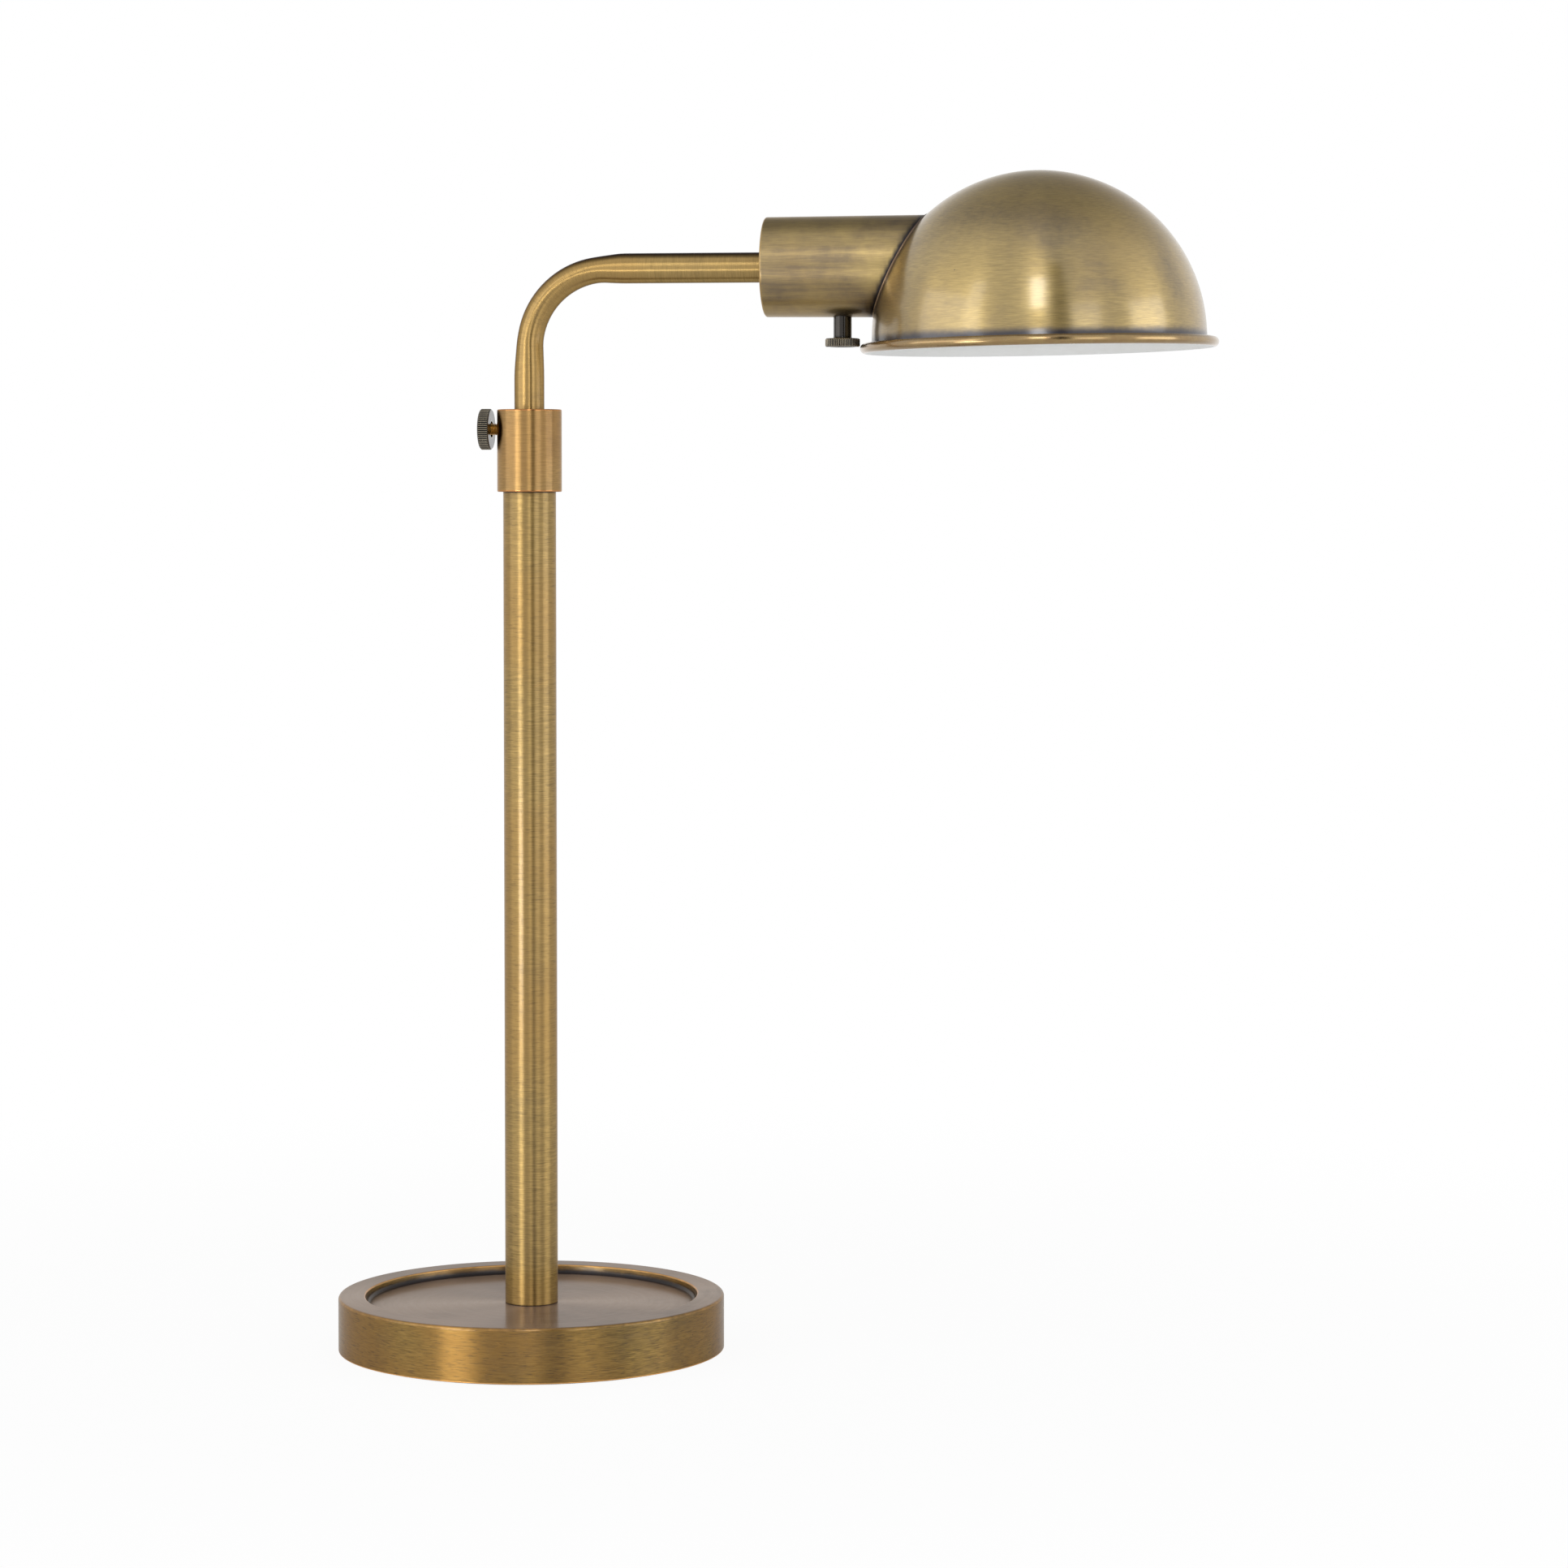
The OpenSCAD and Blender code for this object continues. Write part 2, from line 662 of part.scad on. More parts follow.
module socket_body() {
    color("#1f1c1a") difference() {
        along_arm(chamber_x) rotate_extrude() polygon([
            [chamber_d / 2, 0], [socket_r, 0], [socket_r, socket_end - chamber_x],
            [shell_out_r, socket_end - chamber_x], [shell_out_r, cavity_x - chamber_x],
            [0, cavity_x - chamber_x], [0, chamber_len], [chamber_d / 2, chamber_len]]);
        for (side = [-1, 1])
            translate([chamber_x - past, side * (strap_face + past) - past, arm_z - socket_r])
                cube([strap_x + strap_len - chamber_x + 2 * past, 2 * past, 2 * socket_r]);
        translate([strap_hole_x, 0, arm_z]) rotate([90, 0, 0])
            cylinder(h = 2 * socket_r, r = strap_screw_r, center = true);
        translate([switch_x, 0, arm_z - socket_r - past])
            cylinder(h = socket_r, r = spindle_r + run_clear);
        translate([web_x - past, 0, arm_z + rivet_rise]) rotate([0, 90, 0])
            cylinder(h = web_t + 2 * past, r = rivet_r);
    }
}

module socket_cover() {
    color("#2a2624") difference() {
        along_arm(socket_x) cylinder(h = socket_cover_t, r = strap_face);
        for (side = [-1, 1])
            translate([socket_x - past, 0, arm_z + side * terminal_offset]) rotate([0, 90, 0])
                cylinder(h = socket_cover_t + 2 * past, r = strap_screw_r);
    }
}

module terminal_screws() {
    color("#c9a55c") for (side = [-1, 1])
        translate([socket_x, 0, arm_z + side * terminal_offset]) rotate([0, -90, 0])
            small_screw(terminal_d / 2, terminal_t, strap_screw_r, socket_cover_t);
}

module screw_shell() {
    inner = thread(shell_in_r, leaf_t, shell_len, 0);
    outer = [for (i = [len(inner) - 1:-1:0]) [inner[i][0] + shell_wall, inner[i][1]]];
    color("#c9a55c") along_arm(cavity_x) rotate_extrude() polygon(concat(
        [[shell_hole_r, 0], [shell_hole_r, leaf_t]], inner, outer, [[shell_in_r, 0]]));
}

module centre_contact() {
    rise = tip_rise - leaf_t;
    color("#c9a55c") {
        // Leaf that runs down from its rivet and springs forward to the bulb's tip
        translate([cavity_x, leaf_w / 2, arm_z]) rotate([90, 0, 0]) linear_extrude(leaf_w)
            polygon([[0, rivet_rise - 1], [leaf_t, rivet_rise - 1], [leaf_t, 3 + leaf_t],
                [rise, leaf_t], [rise + leaf_t, -2], [rise + leaf_t, -3], [rise, -3],
                [rise - leaf_t, 0], [0, 3]]);
        translate([web_x - 1, 0, arm_z + rivet_rise]) rotate([0, 90, 0]) cylinder(h = web_t + 2, r = rivet_r);
        translate([cavity_x, -leaf_w / 2, arm_z + rivet_rise - rivet_pad / 2]) cube([leaf_t, leaf_w, rivet_pad]);
    }
}

module switch_spindle() {
    color("#9a9a9c") translate([switch_x, 0, spindle_foot])
        cylinder(h = rotor_z + rotor_t - spindle_foot, r = spindle_r);
}

module switch_rotor() {
    color("#d8d2c4") translate([switch_x, 0, rotor_z]) difference() {
        ring(rotor_d / 2, spindle_r, rotor_t);
        for (a = [0:90:270]) rotate([0, 0, a]) translate([rotor_d / 2, 0, -past])
            cylinder(h = rotor_t + 2 * past, r = rotor_lobe);
    }
}

module switch_knob() {
    color("#4b4642") translate([switch_x, 0, knob_z]) difference() {
        union() {
            knurled_disc(knob_d, knob_t, 0.4);
            cylinder(h = neck_top - knob_z, r = neck_r);
        }
        translate([0, 0, spindle_foot - knob_z]) cylinder(h = knob_drop, r = spindle_r);
    }
}

// Bulb

// Half outline of the glass, drawn in by d from its outside, from the neck to the crown
function glass_line(d) =
    let (r = bulb_r - d, c = bulb_len - bulb_r, a = 90 + neck_slope,
         foot_r = bulb_neck_r - d, tan_u = c + r * cos(a), tan_r = r * sin(a),
         foot_u = tan_u - (tan_r - foot_r) / tan(neck_slope))
    concat([[foot_r, cap_len - 3], [foot_r, foot_u]],
        [for (p = arc(0, 0, r, a, 0)) [p[1], c + p[0]]]);

module bulb_glass() {
    outer = glass_line(0);
    inner = glass_line(glass_wall);
    color("#f2efe6") along_arm(tip_x) rotate_extrude()
        polygon(concat(outer, [for (i = [len(inner) - 1:-1:0]) inner[i]]));
}

module bulb_cap() {
    inner_r = bulb_neck_r;
    shell = thread(cap_r, skirt_u, cap_len - 2, tip_rise);
    color("#b9b9bb") along_arm(tip_x) rotate_extrude() polygon(concat(
        [[skirt_r - 0.5, skirt_u]], shell, [[inner_r + 0.4, cap_len], [inner_r, cap_len],
         [inner_r, cap_len - 3], [skirt_r - 0.5, cap_len - 3]]));
}

module bulb_insulator() {
    color("#17171a") along_arm(tip_x) translate([0, 0, tip_t]) rotate_extrude() polygon([
        [0, 0], [tip_r + 0.4, 0], [skirt_r, skirt_u - tip_t], [0, skirt_u - tip_t]]);
}

module bulb_tip() {
    color("#b9b9bb") along_arm(tip_x) rotate_extrude() polygon([
        [0, 0], [tip_r - 1.4, 0], [tip_r, tip_t], [0, tip_t]]);
}

base_shell();
base_weight();
felt_pad();
cord_bushing();
stem_tube();
stem_plug();
stem_nipple();
base_washer();
base_lock_washer();
base_nut();
stem_collar();
clamp_pad();
thumb_screw();
guide_bush();
arm_foot();
arm_tube();
arm_plug();
pivot_nipple();
friction_washer();
pivot_washer();
spring_washer();
pivot_nut();
socket_housing();
shade_shell();
socket_strap();
strap_screws();
socket_body();
socket_cover();
terminal_screws();
screw_shell();
centre_contact();
switch_spindle();
switch_rotor();
switch_knob();
bulb_cap();
bulb_insulator();
bulb_tip();
bulb_glass();
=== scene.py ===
"""A brass desk lamp: the finishes and the fine shapes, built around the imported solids.

Everything is in metres, in the frame of the solids: the stem stands on the Z axis, the arm and the
head lie along +X, and the lamp rests on Z = 0.
"""

import logging
import math
from dataclasses import dataclass, field
from enum import Enum
from typing import Callable, ClassVar, Sequence

import bmesh
import bpy
import numpy as np
from mathutils import Euler, Matrix, Vector


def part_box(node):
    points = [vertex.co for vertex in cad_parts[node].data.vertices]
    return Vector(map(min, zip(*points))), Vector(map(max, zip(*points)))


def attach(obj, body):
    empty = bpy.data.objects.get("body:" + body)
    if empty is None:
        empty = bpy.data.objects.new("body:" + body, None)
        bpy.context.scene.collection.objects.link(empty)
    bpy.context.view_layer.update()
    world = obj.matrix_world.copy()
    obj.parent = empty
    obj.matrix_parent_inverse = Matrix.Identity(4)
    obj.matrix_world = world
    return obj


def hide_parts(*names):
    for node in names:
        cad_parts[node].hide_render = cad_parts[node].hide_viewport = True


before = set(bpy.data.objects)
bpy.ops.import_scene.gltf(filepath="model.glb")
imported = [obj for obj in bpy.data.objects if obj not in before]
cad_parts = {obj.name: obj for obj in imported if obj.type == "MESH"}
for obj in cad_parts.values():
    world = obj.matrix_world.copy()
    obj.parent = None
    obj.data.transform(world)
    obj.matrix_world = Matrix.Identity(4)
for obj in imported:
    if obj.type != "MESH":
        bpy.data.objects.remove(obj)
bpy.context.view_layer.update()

LOG = logging.getLogger("lamp")
MM = 0.001
ON_AXIS = 0.001 * MM

Pair = tuple[float, float]
Triple = tuple[float, float, float]
Shape = Callable[[float, float, float], float]
Form = bmesh.types.BMesh
Piece = bpy.types.Object
Material = bpy.types.Material
Tree = bpy.types.NodeTree
Node = bpy.types.Node
Socket = bpy.types.NodeSocket
Outputs = bpy.types.NodeOutputs

ORIGIN: Triple = (0.0, 0.0, 0.0)

ALONG_Z = Matrix.Identity(4)
ALONG_X = Matrix.Rotation(math.radians(90), 4, "Y")
TO_THE_LEFT = Matrix.Rotation(math.radians(-90), 4, "Y")
TO_THE_BACK = Matrix.Rotation(math.radians(-90), 4, "X")


class Body(Enum):
    """The bodies of the lamp that carry new pieces."""

    BASE = "base"
    SCREW = "screw"
    ARM = "arm"
    HEAD = "head"
    SWITCH = "switch"


class Slot(Enum):
    """Names of the material slots, passed along with the new pieces."""

    BRASS = "antique_brass"
    BRONZE = "dark_bronze"
    FELT = "green_felt"
    GLASS = "frosted_glass"


def linear(red: int, green: int, blue: int) -> Triple:
    """Turn a display colour of 0 to 255 into linear light.

    Args:
        red: Display value of red.
        green: Display value of green.
        blue: Display value of blue.

    Returns:
        The three linear values.
    """
    knee, slope, offset, power = 0.04045, 12.92, 0.055, 2.4

    def one(value: float) -> float:
        """Turn one display value into linear light."""
        share = value / 255
        return share / slope if share <= knee else ((share + offset) / (1 + offset)) ** power
    return one(red), one(green), one(blue)


def held(share: float) -> float:
    """Hold a share between 0 and 1."""
    return min(1.0, max(0.0, share))


def ease(share: float) -> float:
    """Ease a share in and out between 0 and 1."""
    share = held(share)
    return share * share * (3 - 2 * share)


def full_turn(steps: int) -> list[float]:
    """List the angles of a full turn in even steps."""
    return [2 * math.pi * k / steps for k in range(steps)]


# Outlines

@dataclass(frozen=True)
class Corner:
    """A corner of a turned outline: its radius, its place along the axis and its rounding."""

    r: float
    z: float
    rounding: float = 0.0


def arc(centre: Pair, radius: float, start: float, end: float, steps: int) -> list[Corner]:
    """Draw an arc of an outline.

    Args:
        centre: Radius and place along the axis of the arc's centre.
        radius: Radius of the arc.
        start: First angle in degrees, 0 pointing outward and 90 along the axis.
        end: Last angle in degrees.
        steps: Number of straight steps.

    Returns:
        The corners along the arc.
    """
    turns = [math.radians(start + (end - start) * i / steps) for i in range(steps + 1)]
    return [Corner(centre[0] + radius * math.cos(a), centre[1] + radius * math.sin(a)) for a in turns]


def rounded(corners: Sequence[Corner], steps: int = 6) -> list[Pair]:
    """Round the corners of a closed outline that ask for it.

    Args:
        corners: The outline's corners in order.
        steps: Number of steps in each rounding.

    Returns:
        The outline's points.
    """
    most_of_a_side = 0.49
    points: list[Pair] = []
    for i, corner in enumerate(corners):
        here = Vector((corner.r, corner.z))
        if not corner.rounding:
            points.append((here.x, here.y))
            continue
        following = corners[(i + 1) % len(corners)]
        before = Vector((corners[i - 1].r, corners[i - 1].z)) - here
        after = Vector((following.r, following.z)) - here
        half = before.angle(after) / 2
        reach = min(corner.rounding / math.tan(half),
                    most_of_a_side * before.length, most_of_a_side * after.length)
        radius = reach * math.tan(half)
        inward = (before.normalized() + after.normalized()).normalized()
        middle = here + inward * radius / math.sin(half)
        first = here + before.normalized() * reach - middle
        last = here + after.normalized() * reach - middle
        sweep = first.angle_signed(last)
        for k in range(steps + 1):
            turn = -sweep * k / steps
            spoke = Vector((first.x * math.cos(turn) - first.y * math.sin(turn),
                            first.x * math.sin(turn) + first.y * math.cos(turn)))
            points.append((middle.x + spoke.x, middle.y + spoke.y))
    return points


def spaced(points: Sequence[Pair], shortest: float, longest: float) -> list[Pair]:
    """Add points to a closed outline's long sides, close together at the ends of each side.

    Args:
        points: The outline's points.
        shortest: First step away from a corner.
        longest: Largest step on a side.

    Returns:
        The outline with more points.
    """
    growth = 1.7
    filled: list[Pair] = []
    for i, (r0, z0) in enumerate(points):
        r1, z1 = points[(i + 1) % len(points)]
        filled.append((r0, z0))
        length = math.hypot(r1 - r0, z1 - z0)
        if length < 2 * shortest:
            continue
        ends, step, gone = [], shortest, shortest
        while gone < length / 2 and step < longest:
            ends.append(gone)
            step *= growth
            gone += step
        start = ends[-1] if ends else 0
        spans = max(1, math.ceil((length - 2 * start) / longest))
        middle = [start + (length - 2 * start) * k / spans for k in range(1, spans)]
        for way in [*ends, *middle, *[length - e for e in reversed(ends)]]:
            filled.append((r0 + (r1 - r0) * way / length, z0 + (z1 - z0) * way / length))
    return filled


# Meshes

def new_piece(name: str, form: Form) -> Piece:
    """Put a finished form into the scene.

    Args:
        name: Name of the piece.
        form: The form, which is freed.

    Returns:
        The new object.
    """
    bmesh.ops.recalc_face_normals(form, faces=form.faces)
    mesh = bpy.data.meshes.new(name)
    form.to_mesh(mesh)
    form.free()
    piece = bpy.data.objects.new(name, mesh)
    bpy.context.scene.collection.objects.link(piece)
    return piece


def bridge(form: Form, rings: Sequence[Sequence[bmesh.types.BMVert]]) -> None:
    """Join rings of points, each to the next one and the last to the first.

    Args:
        form: The form that holds the points.
        rings: The rings, each with as many points. A point on the axis stands for a whole ring.
    """
    for i, ring in enumerate(rings):
        after = rings[(i + 1) % len(rings)]
        for k in range(len(ring)):
            j = (k + 1) % len(ring)
            corners = list(dict.fromkeys((ring[k], ring[j], after[j], after[k])))
            if len(corners) > 2:
                form.faces.new(corners)


def turned(name: str, points: Sequence[Pair], placing: Matrix, turns: int = 192,
           shape: Shape | None = None) -> Piece:
    """Turn a closed outline round its axis.

    Args:
        name: Name of the piece.
        points: The outline's points: radius and place along the axis.
        placing: Where the outline's axis and origin lie.
        turns: Number of steps round the axis.
        shape: Gives the radius at a radius, a place along the axis and an angle, or None.

    Returns:
        The new object.
    """
    form = bmesh.new()
    rings = []
    for r, z in points:
        if r < ON_AXIS:
            rings.append([form.verts.new(placing @ Vector((0, 0, z)))] * turns)
            continue
        ring = []
        for a in full_turn(turns):
            far = shape(r, z, a) if shape else r
            ring.append(form.verts.new(placing @ Vector((far * math.cos(a), far * math.sin(a), z))))
        rings.append(ring)
    bridge(form, rings)
    return new_piece(name, form)


def cut_away(piece: Piece, *cutters: Piece) -> None:
    """Cut solid forms out of a piece, and delete the cutters.

    Args:
        piece: The piece to cut.
        cutters: The forms to take away.
    """
    for cutter in cutters:
        cut = piece.modifiers.new("cut", "BOOLEAN")
        cut.object, cut.operation, cut.solver = cutter, "DIFFERENCE", "EXACT"
    bpy.context.view_layer.update()
    result = piece.evaluated_get(bpy.context.evaluated_depsgraph_get())
    mesh = bpy.data.meshes.new_from_object(result)
    piece.modifiers.clear()
    old, piece.data = piece.data, mesh
    bpy.data.meshes.remove(old)
    for cutter in cutters:
        bpy.data.meshes.remove(cutter.data)


def rod(radius: float, start: float, end: float, placing: Matrix, turns: int = 48) -> Piece:
    """Make a plain round rod that cuts a bore.

    Args:
        radius: Radius of the rod.
        start: Where it starts along its axis.
        end: Where it ends.
        placing: Where its axis lies.
        turns: Number of steps round it.

    Returns:
        The rod.
    """
    return turned("bore", [(0, start), (radius, start), (radius, end), (0, end)], placing, turns)


def square(name: str, half_width: float, half_height: float) -> Piece:
    """Lay a flat plate round the origin.

    Args:
        name: Name of the piece.
        half_width: Half of its size in X.
        half_height: Half of its size in Y.

    Returns:
        The new object.
    """
    form = bmesh.new()
    form.faces.new([form.verts.new((x * half_width, y * half_height, 0))
                    for x, y in ((-1, -1), (1, -1), (1, 1), (-1, 1))])
    return new_piece(name, form)


def smooth(piece: Piece, sharp_over: float = 40) -> Piece:
    """Shade a piece smooth, apart from its sharp edges.

    Args:
        piece: The piece.
        sharp_over: Angle in degrees over which an edge stays sharp.

    Returns:
        The same piece.
    """
    piece.data.polygons.foreach_set("use_smooth", [True] * len(piece.data.polygons))
    piece.data.set_sharp_from_angle(angle=math.radians(sharp_over))
    return piece


@dataclass(frozen=True)
class Lay:
    """How brush marks and edge wear lie on a turned piece.

    Attributes:
        wear: Width of the rubbed band along an outward edge.
        shade: Width of the dark band in an inward corner, where old wax and painted shade lie.
    """

    wear: float = 0.7 * MM
    shade: float = 1.6 * MM
    points_at_once: ClassVar[int] = 4000

    def edges(self, points: np.ndarray) -> tuple[np.ndarray, np.ndarray, np.ndarray]:
        """Find how near each outline point is to an outward edge and an inward corner.

        Args:
            points: The closed outline.

        Returns:
            The way along the outline, the share of rubbing and the share of shade.
        """
        after = np.roll(points, -1, 0)
        ahead, behind = after - points, points - np.roll(points, 1, 0)
        way = np.concatenate([[0], np.cumsum(np.hypot(*ahead.T))])
        total, way = way[-1], way[:-1]
        area = np.sum(points[:, 0] * after[:, 1] - after[:, 0] * points[:, 1])
        bend = np.arctan2(behind[:, 0] * ahead[:, 1] - behind[:, 1] * ahead[:, 0],
                          np.sum(behind * ahead, 1))
        turn = bend * np.sign(area) * (points[:, 0] > ON_AXIS)
        gap = np.abs(way[:, None] - way[None, :])
        gap = np.minimum(gap, total - gap)
        rub, dark = (np.clip((np.exp(-(gap / width) ** 2) * np.maximum(side * turn, 0)).sum(1)
                             / (math.pi / 2), 0, 1)
                     for width, side in ((self.wear, 1), (self.shade, -1)))
        return way, rub, dark

    def store(self, piece: Piece, points: Sequence[Pair], placing: Matrix) -> None:
        """Store the brush direction and the edge shares on a turned piece.

        Args:
            piece: The turned piece, cut or whole.
            points: The outline that it was turned from.
            placing: Where the outline's axis lies.
        """
        outline = np.array(points)
        way, rub, dark = self.edges(outline)
        count = len(piece.data.vertices)
        places = np.empty(count * 3)
        piece.data.vertices.foreach_get("co", places)
        back = np.array(placing.inverted())
        local = places.reshape(-1, 3) @ back[:3, :3].T + back[:3, 3]
        radius, angle = np.hypot(local[:, 0], local[:, 1]), np.arctan2(local[:, 1], local[:, 0])
        nearest = np.empty(count, int)
        for start in range(0, count, self.points_at_once):
            part = slice(start, start + self.points_at_once)
            nearest[part] = ((radius[part, None] - outline[:, 0]) ** 2
                             + (local[part, 2][:, None] - outline[:, 1]) ** 2).argmin(1)
        store_lay(piece, outline[:, 0].max(), angle, way[nearest], rub[nearest], dark[nearest])


def store_lay(piece: Piece, reach: float, angle: np.ndarray, way: np.ndarray,
              rub: np.ndarray, dark: np.ndarray) -> None:
    """Store each point's place round and along the piece, and its edge shares.

    Args:
        piece: The piece.
        reach: Radius that turns an angle into a length.
        angle: Angle of each point round the piece's axis.
        way: Length of each point along the piece's outline.
        rub: How near each point is to a rubbed edge, 0 to 1.
        dark: Share of darkening at each point, 0 to 1, such as old wax and painted shade in an inward
            corner.
    """
    mesh = piece.data
    lay = np.column_stack([reach * np.cos(angle), reach * np.sin(angle), way])
    for name, kind, values, key in (("lay", "FLOAT_VECTOR", lay, "vector"),
                                    ("rub", "FLOAT", rub, "value"), ("dark", "FLOAT", dark, "value")):
        flat = np.ravel(values).astype(np.float32)
        mesh.attributes.new(name, kind, "POINT").data.foreach_set(key, flat)
    corners = np.empty(len(mesh.loops), np.int64)
    mesh.loops.foreach_get("vertex_index", corners)
    starts = np.empty(len(mesh.polygons), np.int64)
    mesh.polygons.foreach_get("loop_start", starts)
    round_it = angle[corners]
    spread = np.maximum.reduceat(round_it, starts) - np.minimum.reduceat(round_it, starts)
    wraps = np.repeat(spread > math.pi, np.diff(np.append(starts, len(corners))))
    round_it = np.where(wraps & (round_it < 0), round_it + 2 * math.pi, round_it)
    flat = np.column_stack([way[corners], round_it * reach]).ravel().astype(np.float32)
    mesh.uv_layers.new(name="brush").data.foreach_set("uv", flat)


# Shader nodes

class Nodes:
    """Adds nodes to one tree and links them."""

    def __init__(self, tree: Tree) -> None:
        """Take the tree to work in."""
        self.tree = tree

    def add(self, kind: str, **settings: object) -> Node:
        """Add a node with its settings.

        Args:
            kind: Kind of node.
            settings: The node's settings by name.

        Returns:
            The node.
        """
        node = self.tree.nodes.new(kind)
        for key, value in settings.items():
            setattr(node, key, value)
        return node

    def feed(self, socket: Socket, value: object) -> None:
        """Link or set an input.

        Args:
            socket: The input.
            value: An output to link, or a value to set.
        """
        if isinstance(value, Socket):
            self.tree.links.new(value, socket)
        elif socket.type == "RGBA" and len(value) == 3:
            socket.default_value = (*value, 1)
        else:
            socket.default_value = value

    def plug(self, node: Node, **inputs: object) -> Node:
        """Link or set a node's inputs.

        Args:
            node: The node.
            inputs: Its inputs by name, with _ for a blank.

        Returns:
            The same node.
        """
        for name, value in inputs.items():
            self.feed(node.inputs[name.replace("_", " ")], value)
        return node

    def maths(self, operation: str, *values: object, clamp: bool = False) -> Socket:
        """Add a Math node.

        Args:
            operation: What it does.
            values: Its inputs in order.
            clamp: Whether the result stays from 0 to 1.

        Returns:
            Its output.
        """
        node = self.add("ShaderNodeMath", operation=operation, use_clamp=clamp)
        for socket, value in zip(node.inputs, values):
            self.feed(socket, value)
        return node.outputs[0]

    def vector(self, operation: str, *values: object, output: str = "Vector") -> Socket:
        """Add a Vector Math node.

        Args:
            operation: What it does.
            values: Its inputs in order.
            output: Name of the output to use.

        Returns:
            That output.
        """
        node = self.add("ShaderNodeVectorMath", operation=operation)
        for socket, value in zip(node.inputs, values):
            self.feed(socket, value)
        return node.outputs[output]

    def blend(self, factor: object, first: object, second: object) -> Socket:
        """Mix two colours.

        Args:
            factor: Share of the second colour.
            first: First colour.
            second: Second colour.

        Returns:
            The mixed colour.
        """
        node = self.add("ShaderNodeMix", data_type="RGBA", clamp_factor=True)
        factor_input, first_input, second_input, colour_output = 0, 6, 7, 2
        for index, value in ((factor_input, factor), (first_input, first), (second_input, second)):
            self.feed(node.inputs[index], value)
        return node.outputs[colour_output]

    def stretch(self, value: object, low: float, high: float, to_low: float = 0,
                to_high: float = 1) -> Socket:
        """Spread a range of values over another, with soft ends.

        Args:
            value: The value.
            low: Value that becomes to_low.
            high: Value that becomes to_high.
            to_low: Result at low.
            to_high: Result at high.

        Returns:
            The spread value.
        """
        node = self.add("ShaderNodeMapRange", interpolation_type="SMOOTHSTEP")
        for socket, number in zip(node.inputs, (value, low, high, to_low, to_high)):
            self.feed(socket, number)
        return node.outputs[0]

    def noise(self, vector: object, scale: object, detail: float = 3, rough: float = 0.5) -> Socket:
        """Add a Noise texture.

        Args:
            vector: Where it is read.
            scale: Its scale.
            detail: Its number of octaves.
            rough: The strength of its finer octaves.

        Returns:
            Its factor.
        """
        node = self.add("ShaderNodeTexNoise")
        return self.plug(node, Vector=vector, Scale=scale, Detail=detail, Roughness=rough).outputs[0]

    def bump(self, height: object, strength: float, distance: float) -> Socket:
        """Add a Bump node.

        Args:
            height: Height of the surface, 0 to 1.
            strength: Its strength.
            distance: What a height of 1 stands for.

        Returns:
            The bumped normal.
        """
        node = self.add("ShaderNodeBump")
        return self.plug(node, Height=height, Strength=strength, Distance=distance).outputs[0]

    def place(self) -> Socket:
        """Read the place in the object's own frame."""
        return self.add("ShaderNodeTexCoord").outputs["Object"]

    def stored(self, name: str, output: str = "Fac") -> Socket:
        """Read an attribute that the mesh stores."""
        return self.add("ShaderNodeAttribute", attribute_name=name).outputs[output]

    def group(self, tree: Tree, **inputs: object) -> Outputs:
        """Place a node group.

        Args:
            tree: The group.
            inputs: Its inputs by name.

        Returns:
            Its outputs.
        """
        return self.plug(self.add("ShaderNodeGroup", node_tree=tree), **inputs).outputs


class Effect:
    """A shader node group with named sockets."""

    def __init__(self, name: str, inputs: dict[str, object], outputs: Sequence[str]) -> None:
        """Make the group and its sockets.

        Args:
            name: Name of the group.
            inputs: Starting value of each input.
            outputs: Names of the outputs, which are all numbers.
        """
        self.tree = bpy.data.node_groups.new(name, "ShaderNodeTree")
        for key, value in inputs.items():
            kind = "NodeSocketVector" if isinstance(value, tuple) else "NodeSocketFloat"
            socket = self.tree.interface.new_socket(key, in_out="INPUT", socket_type=kind)
            socket.default_value = value
        for key in outputs:
            self.tree.interface.new_socket(key, in_out="OUTPUT", socket_type="NodeSocketFloat")
        self.nodes = Nodes(self.tree)
        self.given = self.nodes.add("NodeGroupInput").outputs
        self.result = self.nodes.add("NodeGroupOutput")

    def give(self, **results: object) -> Tree:
        """Link the results to the outputs of their names, and hand over the group."""
        self.nodes.plug(self.result, **results)
        return self.tree


